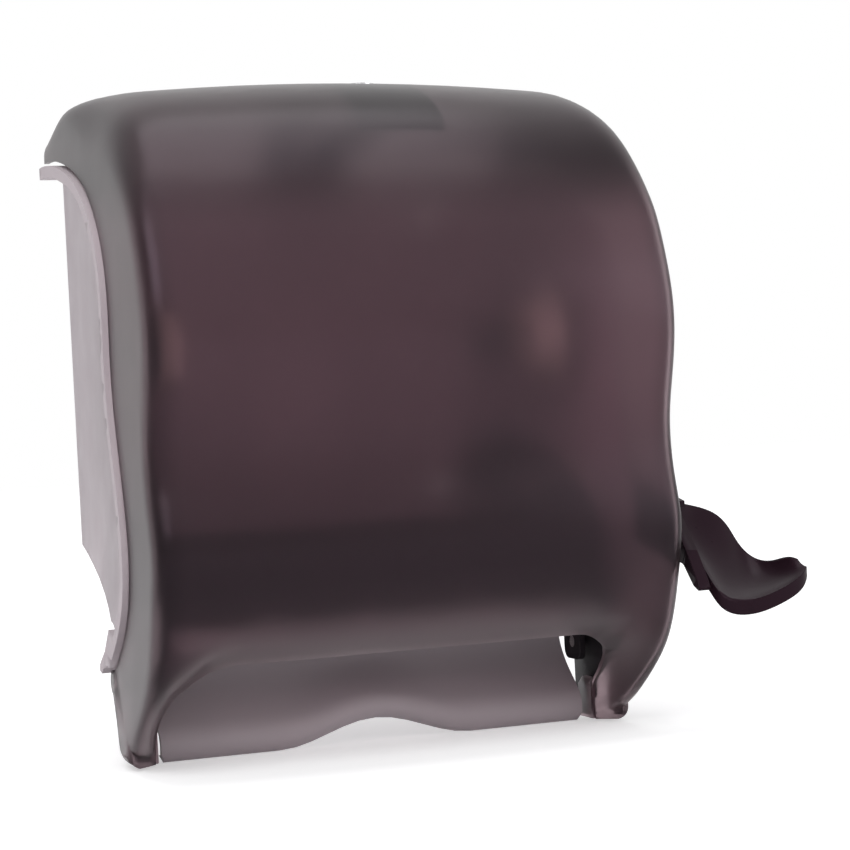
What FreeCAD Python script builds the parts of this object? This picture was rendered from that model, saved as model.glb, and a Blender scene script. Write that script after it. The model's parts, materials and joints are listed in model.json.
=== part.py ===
import FreeCAD, Part
import math
import os

from FreeCAD import Vector

# Lever paper towel dispenser for the wall, in millimetres.
# X runs to the right, Y into the wall and Z up. Sections are drawn as (depth, height):
# depth is measured forward from the wall and height up from the foot of the cover.
# The last step lowers every piece, so that the origin is the middle of the wall hole pattern.

# The towel roll, and the side frames that stand just outside it
ROLL_WIDTH = 203.0
ROLL_AXIS = (108.0, 198.0)
CORE_R = 18.7
FRAME_INNER = ROLL_WIDTH / 2 + 8.5
FRAME_WALL = 3.0
FRAME_OUTER = FRAME_INNER + FRAME_WALL

# Driving dimensions of the casing
BODY_WIDTH = 2 * (FRAME_OUTER + 16)
RIM_WIDTH = BODY_WIDTH + 5
WALL_FOOT_WIDTH = BODY_WIDTH - 19
# Half width of a slab that is wider than the casing
WIDE = RIM_WIDTH / 2 + 18.5
COVER_WALL = 2.5
COVER_CROWN = 6.4
CORNER_FULLNESS = 3.2
WALL_CLEARANCE = 1.5
PARTING_GAP = 2.2
HOUSING_WALL = 3.0
WING_WALL = 2.5
WING_FLARE = 0.07
RIM_BAND = 6.0
HOUSING_TOP = 298.0

# Outline of the cover in its middle plane, from the wall over the top and down to the foot
COVER_PROFILE = [
    (0, 319.5), (50, 327.9), (95, 327.6), (135, 320), (170, 300.6), (196.5, 266.3),
    (212.4, 229.8), (217.2, 203), (212.2, 172), (206.5, 150), (208.2, 128), (213, 106),
    (207.4, 77), (192.6, 44.3), (177, 26.6), (156.3, 10.7), (134, 0.2),
]
# Corner radius between the skin and the side panels, as (length along the profile, radius)
COVER_CORNERS = [(0, 13), (60, 10), (120, 38), (165, 32), (230, 14), (700, 10)]
# Parting edge between the cover and the back housing, from the wall down to the cover hinge
PARTING_EDGE = [
    (0, 298.5), (25, 297), (50, 292.5), (72, 286.5), (95, 276.5), (114, 262), (127, 245),
    (133.5, 222), (133.2, 198), (134, 176), (138.8, 155), (146.7, 128), (150.4, 101),
    (146, 82), (130, 62.5), (107, 46.5),
]
# Tail of the rim below the parting edge, which hooks back behind the cover hinge
RIM_TAIL = [
    (107, 46.5), (96.5, 46.5), (92, 43.5), (87.5, 44.5), (88, 47.5), (93, 50.5), (101, 55),
    (107, 61), (112, 66), (125, 62), (115, 52),
]
# Lower edge of the side wings, from the rim back to the floor, and the line of the floor to the wall
WING_EDGE = [(101, 55), (109, 63), (100, 67.5), (93, 68.5)]
FLOOR_LINE = [(87, 74.3), (77, 80.3), (60, 87.3), (40, 93), (20, 98), (0, 102)]

# Towel opening in the foot of the cover
ARCH_HALF_WIDTH = FRAME_INNER + 2
ARCH_FLARE = 0.1
ARCH_TOP = 50.0
ARCH_RADIUS = 28.0
ARCH_ROLL = 23.0
ARCH_EDGE_DEPTH = 168.0
ARCH_EDGE_SLOPE = 1.6
ARCH_EDGE_MIN_DEPTH = 120.0
ARCH_EDGE_WALL = 3.0

# Wall mounting holes
MOUNT_SPACING_X = 160.0
MOUNT_SPACING_Z = 150.0
MOUNT_HEIGHT = 195.0
MOUNT_HOLE_R = 2.75
MOUNT_BOSS_R = 9.0
MOUNT_BOSS_H = 1.5

# Cover hinge and general fits
COVER_PIVOT = (105.0, 40.0)
COVER_PIN_R = 3.0
COVER_BOSS_R = 6.0
RUNNING_FIT = 0.05
SEAT_GAP = 0.3

# Drive train: lever sector, idler and roller pinion with stub involute teeth
GEAR_MODULE = 1.5
GEAR_PRESSURE_ANGLE = 25.0
GEAR_WIDTH = 6.0
GEAR_BACKLASH = 0.25
PINION_TEETH = 12
IDLER_TEETH = 14
SECTOR_TEETH = 48
FEED_AXIS = (112.0, 78.0)
IDLER_BEARING = 100.0
LEVER_BEARING = 152.0
LEVER_TRAVEL = 35.0
SHAFT_R = 4.0
IDLER_PIN_R = 3.0
BUSH_WALL = 2.0
CLUTCH_WALL = 2.2

# Feed and pressure rollers
FEED_R = 14.0
GRIP_WALL = 1.5
GRIP_WIDTH = 30.0
GRIP_PITCH = 52.0
PINCH_R = 8.0
PINCH_SHAFT_R = 2.0
PINCH_BEARING = 8.0
PINCH_PIVOT = (124.0, 106.0)
PINCH_PIN_R = 2.5
PINCH_WIRE_R = 0.5

# Roll arms
ARM_INNER = FRAME_INNER - 6
ARM_WALL = 4.0
ARM_PIVOT_DEPTH = 9.0
ARM_PIN_R = 2.5
ARM_HEIGHT = 20.0

# Lock in the top of the cover
LOCK_X = 10.0
LOCK_DEPTH = 108.0
LOCK_R = 7.0
LOCK_TOP = 325.6
LOCK_CAM_TOP = 309.4
LOCK_CAM_WALL = 2.4

# Exit chute
CHUTE_WIDTH = 2 * (FRAME_INNER - SEAT_GAP)
CHUTE_WALL = 2.2
LIP_WAVE = 11.4
LIP_WAVE_HALF = 50.0

# Tear bar
TEAR_DEPTH = 131.0
TEAR_EDGE = 51.5
TEAR_TOP = 64.0
TEAR_WALL = 1.2
TOOTH_PITCH = 4.0
TOOTH_HEIGHT = 3.0

# Lever
LEVER_INNER = BODY_WIDTH / 2 + 5
LEVER_WALL = 6.0
LEVER_OUTER = LEVER_INNER + 12
LEVER_HUB_R = 15.0
PADDLE_SKIN = 3.0
PADDLE_APRON = 7.0
# Rear and front rails of the lever's scoop as (x beyond the arm's inner face, depth, height)
PADDLE_REAR = [
    (4, 170, 111), (19, 166, 108), (32, 168, 101.5), (37.7, 172, 91), (42.5, 181.5, 81.3),
    (47.5, 195, 80.6), (51, 204.5, 81.8), (53.2, 206, 80.8),
]
PADDLE_FRONT = [
    (4, 192, 87), (7, 203, 74.5), (12, 212.5, 65.3), (23, 216.5, 64.4), (36, 218, 68),
    (46.5, 217, 72.6), (52, 214.5, 76), (54.2, 212.5, 77.4),
]


def direction(angle):
    """Unit step in the section plane at an angle in degrees from forward towards up."""
    return math.cos(math.radians(angle)), math.sin(math.radians(angle))


def stepped(point, distance, angle):
    """A section point at a distance and an angle from another."""
    forward, up = direction(angle)
    return point[0] + distance * forward, point[1] + distance * up


IDLER_AXIS = stepped(FEED_AXIS, GEAR_MODULE * (PINION_TEETH + IDLER_TEETH) / 2, IDLER_BEARING)
LEVER_AXIS = stepped(IDLER_AXIS, GEAR_MODULE * (IDLER_TEETH + SECTOR_TEETH) / 2, LEVER_BEARING)
PINCH_AXIS = stepped(FEED_AXIS, FEED_R + PINCH_R + SEAT_GAP, PINCH_BEARING)


def at(x, depth, height):
    """Point in space from a side position and a section point."""
    return Vector(x, -depth, height)


def polygon(points):
    """Closed wire of straight lines through points in space."""
    return Part.makePolygon(list(points) + [points[0]])


def slab_x(wire, x0, x1):
    """Solid of a section wire drawn at x = 0, reaching from x0 to x1."""
    solid = Part.Face(wire).extrude(Vector(x1 - x0, 0, 0))
    solid.translate(Vector(x0, 0, 0))
    return solid


def section(points):
    """Closed wire of straight lines through section points."""
    return polygon([at(0, depth, height) for depth, height in points])


def rounded(points, radius):
    """Closed section wire with every corner turned by an arc, or a smaller one where it must be."""
    corners = [at(0, depth, height) for depth, height in points]
    count = len(corners)
    edges = []
    ends = []
    for i, corner in enumerate(corners):
        back = corners[i - 1] - corner
        ahead = corners[(i + 1) % count] - corner
        half = back.getAngle(ahead) / 2
        reach = min(radius / math.tan(half), 0.45 * back.Length, 0.45 * ahead.Length)
        turn = reach * math.tan(half)
        start = corner + back.normalize() * reach
        end = corner + ahead.normalize() * reach
        bisector = (back + ahead).normalize()
        middle = corner + bisector * (turn / math.sin(half) - turn)
        edges.append(Part.Arc(start, middle, end).toShape())
        ends.append((start, end))
    lines = []
    for i in range(count):
        lines.append(Part.LineSegment(ends[i][1], ends[(i + 1) % count][0]).toShape())
    ordered = [edge for pair in zip(edges, lines) for edge in pair]
    return Part.Wire(ordered)


def box(x0, x1, depth0, depth1, z0, z1):
    """Block between side, depth and height limits."""
    return Part.makeBox(x1 - x0, depth1 - depth0, z1 - z0, Vector(x0, -depth1, z0))


def rod_x(axis, radius, x0, x1):
    """Round bar along X on a section point."""
    return Part.makeCylinder(radius, x1 - x0, at(x0, *axis), Vector(1, 0, 0))


def ring_x(axis, outer, inner, x0, x1):
    """Round sleeve along X on a section point."""
    return rod_x(axis, outer, x0, x1).cut(rod_x(axis, inner, x0 - 1, x1 + 1))


def bore_x(axis, radius):
    """Bar along X for a bore through everything on the right side."""
    return rod_x(axis, radius, PINCH_PLATE_INNER - 10, WIDE)


def rod_y(x, height, radius, depth0, depth1):
    """Round bar along the depth."""
    return Part.makeCylinder(radius, depth1 - depth0, at(x, depth0, height), Vector(0, -1, 0))


def rod_z(x, depth, radius, z0, z1):
    """Upright round bar."""
    return Part.makeCylinder(radius, z1 - z0, at(x, depth, z0), Vector(0, 0, 1))


def mirrored(shape):
    """The same piece on the other side of the middle plane."""
    return shape.mirror(Vector(0, 0, 0), Vector(1, 0, 0))


def fused(first, *others):
    """One solid of pieces that touch or overlap, without seams."""
    return first.fuse(list(others)).removeSplitter()


def curve(points, even=False):
    """Smooth curve through points in space, with evenly spaced knots where even is asked."""
    spline = Part.BSplineCurve()
    if even:
        spline.interpolate(Points=points, Parameters=[float(i) for i in range(len(points))])
    else:
        spline.interpolate(points)
    return spline


def section_curve(points):
    """Smooth curve through section points."""
    return curve([at(0, depth, height) for depth, height in points])


def walk(spline, count, crowding=1.0):
    """Points along a section curve with the unit normals on its left, as section pairs."""
    out = []
    first, last = spline.FirstParameter, spline.LastParameter
    for i in range(count):
        parameter = first + (last - first) * (1 - (1 - i / (count - 1)) ** crowding)
        point = spline.value(parameter)
        tangent = spline.tangent(parameter)[0]
        out.append(((-point.y, point.z), (-tangent.z, -tangent.y)))
    return out


def shifted(points, distance, count):
    """Section points of the smooth curve moved to its left."""
    return [
        (point[0] + normal[0] * distance, point[1] + normal[1] * distance)
        for point, normal in walk(section_curve(points), count)
    ]


# Cover

COVER_SAMPLES = 27
# Above 1, the sections' points crowd towards the foot, where the towel opening rolls in
FOOT_CROWDING = 1.35
# Side positions of the skin's sections: the corner's, as shares of its widest reach, and the front's
CORNER_REACH = 40.0
CORNER_STEPS = [0, 0.004, 0.011, 0.024, 0.045, 0.075, 0.115, 0.165, 0.225, 0.3, 0.4, 0.52, 0.65, 0.8, 1]
FRONT_STEPS = [72.0, 54.0, 36.0, 18.0]


def arch_distance(x, height):
    """Distance in the front view from a point out to the edge of the towel opening."""
    above = height - (ARCH_TOP - ARCH_RADIUS)
    across = abs(x) - (ARCH_HALF_WIDTH - ARCH_RADIUS) + ARCH_FLARE * min(above, 0.0)
    outside = math.hypot(max(across, 0.0), max(above, 0.0))
    return outside + min(max(across, above), 0.0) - ARCH_RADIUS


def arch_edge_depth(height):
    """Depth of the rolled-in edge of the towel opening at a height."""
    fall = ARCH_EDGE_SLOPE * max(0.0, ARCH_TOP - height)
    return max(ARCH_EDGE_MIN_DEPTH, ARCH_EDGE_DEPTH - fall)


def corner_radius(length):
    """Corner radius at a length along the profile."""
    for (start, first), (end, last) in zip(COVER_CORNERS[:-1], COVER_CORNERS[1:]):
        if length <= end:
            return first + (last - first) * (length - start) / (end - start)
    return COVER_CORNERS[-1][1]


def cover_section(x, inset):
    """Section points of the cover's skin at one side position, moved inwards by inset."""
    half = BODY_WIDTH / 2 - inset
    spline = section_curve(COVER_PROFILE)
    points = []
    for i, ((depth, height), normal) in enumerate(walk(spline, COVER_SAMPLES, FOOT_CROWDING)):
        length = spline.length() * (1 - (1 - i / (COVER_SAMPLES - 1)) ** FOOT_CROWDING)
        radius = corner_radius(length) - inset
        reach = min(1.0, max(0.0, (abs(x) - (half - radius)) / radius))
        rounding = radius * (1 - (1 - reach ** CORNER_FULLNESS) ** (1 / CORNER_FULLNESS))
        fall = COVER_CROWN * (x / half) ** 2 + rounding + inset
        depth -= normal[0] * fall
        height -= normal[1] * fall
        distance = arch_distance(x, height)
        if distance < ARCH_ROLL:
            edge = arch_edge_depth(height) - ARCH_EDGE_WALL * inset / COVER_WALL
            roll = (1 - max(distance, 0.0) / ARCH_ROLL) ** 2.2
            depth -= max(0.0, depth - edge) * roll
        points.append((depth, height))
    return points


def cover_form(inset, margin):
    """Closed form bounded by the cover's skin and, by a margin, the wall and the floor."""
    half = BODY_WIDTH / 2 - inset
    steps = [half - CORNER_REACH * step for step in CORNER_STEPS] + FRONT_STEPS
    stations = [-x for x in steps] + [0.0] + steps[::-1]
    wires = []
    for x in stations:
        points = [at(x, *point) for point in cover_section(x, inset)]
        foot = at(x, -points[-1].y, points[-1].z - margin)
        heel = at(x, -margin, foot.z)
        head = at(x, -margin, points[0].z)
        corners = [points[-1], foot, heel, head, points[0]]
        sides = [Part.LineSegment(a, b).toShape() for a, b in zip(corners[:-1], corners[1:])]
        wires.append(Part.Wire([curve(points, True).toShape()] + sides))
    return Part.makeLoft(wires, True, True)


def cover_region():
    """Slab of everything in front of the parting edge and around the hinge bosses."""
    edge = [at(0, *point) for point in shifted(PARTING_EDGE, PARTING_GAP, 24)]
    edge[0] = at(0, WALL_CLEARANCE, edge[0].z)
    pivot = COVER_PIVOT
    front_edge = curve(edge).toShape()
    outline = [
        edge[-1], at(0, pivot[0] - 0.5, pivot[1] + COVER_BOSS_R - 0.5),
        at(0, pivot[0] - 4, pivot[1] - 1), at(0, 108, 22), at(0, 111.5, 9), at(0, 115, 4),
        at(0, 121, 1.2), at(0, 300, 1.2), at(0, 300, 400), at(0, WALL_CLEARANCE, 400), edge[0],
    ]
    lines = [Part.LineSegment(a, b).toShape() for a, b in zip(outline[:-1], outline[1:])]
    region = slab_x(Part.Wire([front_edge] + lines), -WIDE, WIDE)
    return region.fuse(rod_x(pivot, COVER_BOSS_R, -WIDE, WIDE))


def arch_cutter():
    """Bar through the cover with the outline of the towel opening."""
    low = -60.0
    side = ARCH_HALF_WIDTH
    start = side - ARCH_RADIUS
    middle = start + ARCH_RADIUS * direction(45)[0]
    knee = ARCH_TOP - ARCH_RADIUS
    crown = knee + ARCH_RADIUS * direction(45)[1]
    foot = side + ARCH_FLARE * (knee - low)
    deep = -60.0
    edges = [
        Part.LineSegment(at(-foot, deep, low), at(-side, deep, knee)),
        Part.Arc(at(-side, deep, knee), at(-middle, deep, crown), at(-start, deep, ARCH_TOP)),
        Part.LineSegment(at(-start, deep, ARCH_TOP), at(start, deep, ARCH_TOP)),
        Part.Arc(at(start, deep, ARCH_TOP), at(middle, deep, crown), at(side, deep, knee)),
        Part.LineSegment(at(side, deep, knee), at(foot, deep, low)),
        Part.LineSegment(at(foot, deep, low), at(-foot, deep, low)),
    ]
    return Part.Face(Part.Wire([edge.toShape() for edge in edges])).extrude(Vector(0, -400, 0))


def hinge_boss(side):
    """Blind boss inside one side panel for its hinge pin."""
    inner = BODY_WIDTH / 2 - 12
    outer = BODY_WIDTH / 2 - COVER_WALL / 2
    boss = rod_x(COVER_PIVOT, COVER_BOSS_R, inner, outer)
    boss = boss.cut(rod_x(COVER_PIVOT, COVER_PIN_R + RUNNING_FIT, inner - 1, outer - 3))
    return boss if side > 0 else mirrored(boss)


def front_cover(outer, inner):
    """Frosted cover: two-bulge skin, side panels, rolled towel opening and hinge bosses."""
    shell = outer.cut(inner).cut(arch_cutter()).common(cover_region())
    shell = max(shell.Solids, key=lambda solid: solid.Volume)
    shell = shell.cut(rod_z(LOCK_X, LOCK_DEPTH, LOCK_R + SEAT_GAP, 250, 400))
    for side in (-1, 1):
        shell = shell.fuse(hinge_boss(side))
    return shell.removeSplitter()


# Back housing

def housing_outline():
    """Closed section wire of a side wing."""
    edge = section_curve(PARTING_EDGE).toShape()
    corners = [PARTING_EDGE[-1]] + WING_EDGE + FLOOR_LINE + [PARTING_EDGE[0]]
    points = [at(0, *point) for point in corners]
    lines = [Part.LineSegment(a, b).toShape() for a, b in zip(points[:-1], points[1:])]
    return Part.Wire([edge] + lines)


def flare_half_width(depth):
    """Half width over the flared side wings at a depth."""
    return WALL_FOOT_WIDTH / 2 + WING_FLARE * depth


def flared_slab(inner_drop, outer_x):
    """Upright slab on the right side from the flared wing's face, less a drop, out to outer_x."""
    deep = 170.0
    near = flare_half_width(0) - inner_drop
    far = flare_half_width(deep) - inner_drop
    outer_near, outer_far = (near + inner_drop, far + inner_drop) if outer_x is None else (outer_x, outer_x)
    plan = polygon([at(near, 0, 0), at(far, deep, 0), at(outer_far, deep, 0), at(outer_near, 0, 0)])
    return Part.Face(plan).extrude(Vector(0, 0, 340))


def parting_band():
    """Slab of the band of the housing that runs along the parting edge."""
    outer = [at(0, *point) for point in PARTING_EDGE]
    inner = [at(0, *point) for point in shifted(PARTING_EDGE, -RIM_BAND, 24)]
    edges = [
        curve(outer).toShape(), Part.LineSegment(outer[-1], inner[-1]).toShape(),
        curve(inner).toShape(), Part.LineSegment(inner[0], outer[0]).toShape(),
    ]
    band = slab_x(Part.Wire(Part.sortEdges(edges)[0]), 0, WIDE)
    return band.fuse(slab_x(section(RIM_TAIL), 0, WIDE))


def side_wing():
    """Right flared side wing with its flanged rim."""
    wing = flared_slab(WING_WALL, None).common(slab_x(housing_outline(), 0, WIDE))
    rim = flared_slab(WING_WALL, RIM_WIDTH / 2).common(parting_band())
    wing = wing.fuse(rim)
    boss = rod_x(LEVER_AXIS, SHAFT_R + BUSH_WALL + 3, flare_half_width(LEVER_AXIS[0]) - 2, RIM_WIDTH / 2)
    return wing, boss


def housing_floor():
    """Sloping floor between the wings."""
    rise = (WING_WALL * 0.5, WING_WALL * 0.87)
    inner = [(depth + rise[0], height + rise[1]) for depth, height in FLOOR_LINE[:-1]]
    inner.append((0, FLOOR_LINE[-1][1] + WING_WALL))
    half = flare_half_width(FLOOR_LINE[0][0])
    floor = slab_x(section(FLOOR_LINE + inner[::-1]), -half, half)
    deep = FLOOR_LINE[0][0] + 10
    plan = polygon([
        at(-flare_half_width(0), 0, 0), at(flare_half_width(0), 0, 0),
        at(flare_half_width(deep), deep, 0), at(-flare_half_width(deep), deep, 0),
    ])
    return floor.common(Part.Face(plan).extrude(Vector(0, 0, 200)))


def arm_lugs(x):
    """Pair of lugs for one roll arm's hinge pin, with the pin's hole."""
    half = ARM_HEIGHT / 2 + 0.4
    centre = ROLL_AXIS[1]
    inner = ROLL_WIDTH / 2 + 0.5
    lugs = []
    for low in (centre - half - 5, centre + half):
        lugs.append(box(inner, x + 5, HOUSING_WALL - 0.5, ARM_PIVOT_DEPTH + 4.5, low, low + 5))
    hole = rod_z(x, ARM_PIVOT_DEPTH, ARM_PIN_R, centre - 30, centre + 30)
    return [lug.cut(hole) for lug in lugs]


def mount_points():
    """Side positions and heights of the four wall holes."""
    return [
        (x, MOUNT_HEIGHT + z)
        for x in (-MOUNT_SPACING_X / 2, MOUNT_SPACING_X / 2)
        for z in (-MOUNT_SPACING_Z / 2, MOUNT_SPACING_Z / 2)
    ]


def back_housing():
    """Tray on the wall: plate, ribs, bosses, flared wings with rims, floor and roll arm lugs."""
    foot = FLOOR_LINE[-1][1]
    half = WALL_FOOT_WIDTH / 2
    plate = box(-half, half, 0, HOUSING_WALL, foot, HOUSING_TOP)
    strap = box(LOCK_X - 20, LOCK_X + 20, 0, HOUSING_WALL, HOUSING_TOP - 1, STRIKE_TOP)
    wing, boss = side_wing()
    solid = plate.fuse([strap, wing, mirrored(wing), boss, housing_floor()])
    for x in (-64, -32, 32, 64):
        solid = solid.fuse(box(x - 0.9, x + 0.9, HOUSING_WALL - 0.5, HOUSING_WALL + 2.5, foot + 8, 290))
    for lug in arm_lugs(ARM_INNER + ARM_WALL / 2):
        solid = solid.fuse([lug, mirrored(lug)])
    for x, z in mount_points():
        solid = solid.fuse(rod_y(x, z, MOUNT_BOSS_R, HOUSING_WALL - 0.5, HOUSING_WALL + MOUNT_BOSS_H))
    for x, z in mount_points():
        solid = solid.cut(rod_y(x, z, MOUNT_HOLE_R, -1, 10))
    for x, z in frame_screw_points() + strike_screw_points():
        solid = solid.cut(rod_y(x, z, SCREW_R, 0.6, 10))
    bore = bore_x(LEVER_AXIS, SHAFT_R + BUSH_WALL)
    clear = rod_x(COVER_PIVOT, COVER_BOSS_R + PARTING_GAP, -WIDE, WIDE)
    solid = solid.cut([bore, clear])
    return solid.removeSplitter()


# Fasteners

SCREW_R = 1.5
SCREW_HEAD_R = 3.0
SCREW_HEAD_H = 2.0
FRAME_TAB_TOP = 148.0
FRAME_TAB_FOOT = 108.0
FRAME_TAB_WIDTH = 14.0
STRIKE_PLATE_TOP = 303.3
STRIKE_WALL = 2.8
STRIKE_TOP = 316.0


def screw_y(x, z, depth, length):
    """Pan head screw driven towards the wall, its head's seat at a depth."""
    shank = rod_y(x, z, SCREW_R, depth - length, depth)
    head = rod_y(x, z, SCREW_HEAD_R, depth, depth + SCREW_HEAD_H)
    head = head.cut(box(x - SCREW_HEAD_R, x + SCREW_HEAD_R, depth + 1.2, depth + 3, z - 0.4, z + 0.4))
    return shank.fuse(head).removeSplitter()


def frame_screw_points():
    """Side positions and heights of the screws through the side frames' tabs."""
    x = FRAME_INNER - FRAME_TAB_WIDTH / 2
    return [
        (side * x, z)
        for side in (-1, 1)
        for z in (FRAME_TAB_FOOT + 8, FRAME_TAB_TOP - 8)
    ]


def strike_screw_points():
    """Side positions and heights of the lock strike's screws."""
    return [(LOCK_X - 9, HOUSING_TOP - 6), (LOCK_X + 9, HOUSING_TOP - 6)]


def frame_screws():
    """The four screws of the side frames."""
    depth = HOUSING_WALL + FRAME_WALL
    return [screw_y(x, z, depth, FRAME_WALL + 2) for x, z in frame_screw_points()]


def strike_screws():
    """The two screws of the lock strike."""
    depth = HOUSING_WALL + STRIKE_WALL
    return [screw_y(x, z, depth, STRIKE_WALL + 2) for x, z in strike_screw_points()]


# Side frames and bearings

def frame_plate():
    """Right side frame without its drive side features."""
    outline = [
        (3, 106), (3, 152), (62, 142), (128, 118), (134, 108), (127, 94), (130, 82),
        (141, 72), (141, 53), (126, 50), (115, 45), (115, 31), (95, 31), (95, 47),
        (92.5, 59), (91.8, 76.8), (84.5, 80.8), (65, 88.8), (43, 96.5), (23, 103),
    ]
    plate = slab_x(rounded(outline, 5), FRAME_INNER, FRAME_OUTER)
    tab_inner = FRAME_INNER - FRAME_TAB_WIDTH
    tab = box(tab_inner, FRAME_OUTER, HOUSING_WALL, HOUSING_WALL + FRAME_WALL,
              FRAME_TAB_FOOT, FRAME_TAB_TOP)
    frame = fused(plate, tab)
    for x, z in frame_screw_points():
        if x > 0:
            frame = frame.cut(rod_y(x, z, SCREW_R + 0.1, 0, 20))
    return frame.cut([
        bore_x(FEED_AXIS, SHAFT_R + BUSH_WALL),
        bore_x(PINCH_PIVOT, PINCH_PIN_R),
        bore_x(COVER_PIVOT, COVER_PIN_R),
        bore_x(tear_screw_point(), SCREW_R),
    ])


def right_side_frame():
    """Drive side frame with the lever shaft's hole, the idler pin's hole and the spring peg."""
    frame = frame_plate()
    frame = frame.cut([
        bore_x(LEVER_AXIS, SHAFT_R + BUSH_WALL),
        bore_x(IDLER_AXIS, IDLER_PIN_R),
    ])
    return frame.fuse(rod_x(spring_peg(), PEG_R, FRAME_INNER - 6, FRAME_INNER + 1)).removeSplitter()


def bush(axis, inner_x):
    """Flanged plain bush whose flange lies against the frame's inner face."""
    sleeve = ring_x(axis, SHAFT_R + BUSH_WALL, SHAFT_R + RUNNING_FIT, inner_x, FRAME_OUTER + 0.6)
    flange = ring_x(axis, SHAFT_R + BUSH_WALL + 1.5, SHAFT_R + RUNNING_FIT, inner_x - 1.2, inner_x)
    return fused(sleeve, flange)


def roller_bushes():
    """Bushes of the feed roller shaft, one in each side frame."""
    right = bush(FEED_AXIS, FRAME_INNER)
    return [mirrored(right), right]


def lever_bushes():
    """Bushes of the lever shaft in the side frame and in the wing."""
    start = flare_half_width(LEVER_AXIS[0]) - 2
    wing = ring_x(LEVER_AXIS, SHAFT_R + BUSH_WALL, SHAFT_R + RUNNING_FIT, start, RIM_WIDTH / 2 + 0.6)
    return [bush(LEVER_AXIS, FRAME_INNER), wing]


def cover_hinge_pins():
    """Pins pressed into the side frames that the cover turns on."""
    pin = rod_x(COVER_PIVOT, COVER_PIN_R, FRAME_INNER, BODY_WIDTH / 2 - COVER_WALL / 2 - 3.5)
    return [mirrored(pin), pin]


def pinch_frame_pins():
    """Pins pressed into the side frames that the pressure frame turns on."""
    pin = rod_x(PINCH_PIVOT, PINCH_PIN_R, PINCH_PLATE_INNER - 0.5, FRAME_OUTER)
    return [mirrored(pin), pin]


# Drive train

def involute(angle):
    """Involute function of an angle in radians."""
    return math.tan(angle) - angle


def tooth_flank(teeth):
    """Half tooth from root to tip as (radius, half angle) pairs in radians."""
    pitch_r = GEAR_MODULE * teeth / 2
    pressure = math.radians(GEAR_PRESSURE_ANGLE)
    base_r = pitch_r * math.cos(pressure)
    tip_r = pitch_r + 0.8 * GEAR_MODULE
    root_r = pitch_r - 1.05 * GEAR_MODULE
    half_pitch = math.pi / (2 * teeth) - GEAR_BACKLASH / (2 * pitch_r)
    flank = []
    start = max(base_r, root_r + 0.1)
    for i in range(4):
        radius = start + (tip_r - start) * i / 3
        half = half_pitch + involute(pressure) - involute(math.acos(min(1.0, base_r / radius)))
        flank.append((radius, half))
    return [(root_r, min(flank[0][1] + 0.02, math.pi / teeth - 0.005))] + flank


def gear_wire(axis, teeth, first_angle, count):
    """Toothed outline as section points, with count teeth from first_angle onwards."""
    flank = tooth_flank(teeth)
    points = []
    for i in range(count):
        centre = first_angle + 360 * i / teeth
        for radius, half in flank:
            points.append(stepped(axis, radius, centre - math.degrees(half)))
        for radius, half in flank[::-1]:
            points.append(stepped(axis, radius, centre + math.degrees(half)))
    return points


def mesh_angle(teeth, other_teeth, other_angle, bearing):
    """Angle of a tooth centre of a gear that meshes with another.

    bearing points from the other gear to this one, and other_angle is one of its tooth centres.
    """
    pitch = 360.0 / other_teeth
    lead = (other_angle - bearing) % pitch
    gap = bearing + 180 - lead * other_teeth / teeth
    return gap + 180.0 / teeth


SECTOR_TOOTH = LEVER_BEARING + 180
IDLER_TOOTH = mesh_angle(IDLER_TEETH, SECTOR_TEETH, SECTOR_TOOTH, LEVER_BEARING + 180)
PINION_TOOTH = mesh_angle(PINION_TEETH, IDLER_TEETH, IDLER_TOOTH, IDLER_BEARING + 180)
GEAR_START = FRAME_OUTER + 1.5
GEAR_END = GEAR_START + GEAR_WIDTH


def sector_gear():
    """Toothed sector on the lever shaft."""
    pitch = 360.0 / SECTOR_TEETH
    spare = 1
    count = int(LEVER_TRAVEL / pitch) + 2 * spare + 2
    first = SECTOR_TOOTH - spare * pitch
    points = gear_wire(LEVER_AXIS, SECTOR_TEETH, first, count)
    hub_r = SHAFT_R + 5
    points.append(stepped(LEVER_AXIS, hub_r - 1, first + (count - 1) * pitch + 30))
    points.append(stepped(LEVER_AXIS, hub_r - 1, first - 30))
    sector = slab_x(section(points), GEAR_START, GEAR_END)
    sector = sector.fuse(rod_x(LEVER_AXIS, hub_r, GEAR_START, GEAR_END))
    middle = first + (count - 1) * pitch / 2
    radius = GEAR_MODULE * SECTOR_TEETH / 2
    for turn in (-15, 15):
        centre = stepped(LEVER_AXIS, radius * 0.62, middle + turn)
        sector = sector.cut(rod_x(centre, radius * 0.13, GEAR_START - 1, GEAR_END + 1))
    return sector.cut(bore_x(LEVER_AXIS, SHAFT_R)).removeSplitter()


def idler_gear():
    """Idler between the sector and the pinion, which turns the feed the right way."""
    points = gear_wire(IDLER_AXIS, IDLER_TEETH, IDLER_TOOTH, IDLER_TEETH)
    gear = slab_x(section(points), GEAR_START, GEAR_END)
    return gear.cut(bore_x(IDLER_AXIS, IDLER_PIN_R + RUNNING_FIT))


def idler_pin():
    """Headed pin that the idler turns on."""
    shank = rod_x(IDLER_AXIS, IDLER_PIN_R, FRAME_INNER, GEAR_END + SEAT_GAP)
    head = rod_x(IDLER_AXIS, IDLER_PIN_R + 1.5, GEAR_END + SEAT_GAP, GEAR_END + SEAT_GAP + 1.2)
    return fused(shank, head)


def drive_pinion():
    """Pinion that drives the feed roller through the one-way clutch."""
    points = gear_wire(FEED_AXIS, PINION_TEETH, PINION_TOOTH, PINION_TEETH)
    gear = slab_x(section(points), GEAR_START, GEAR_END)
    return gear.cut(bore_x(FEED_AXIS, SHAFT_R + CLUTCH_WALL))


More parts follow.
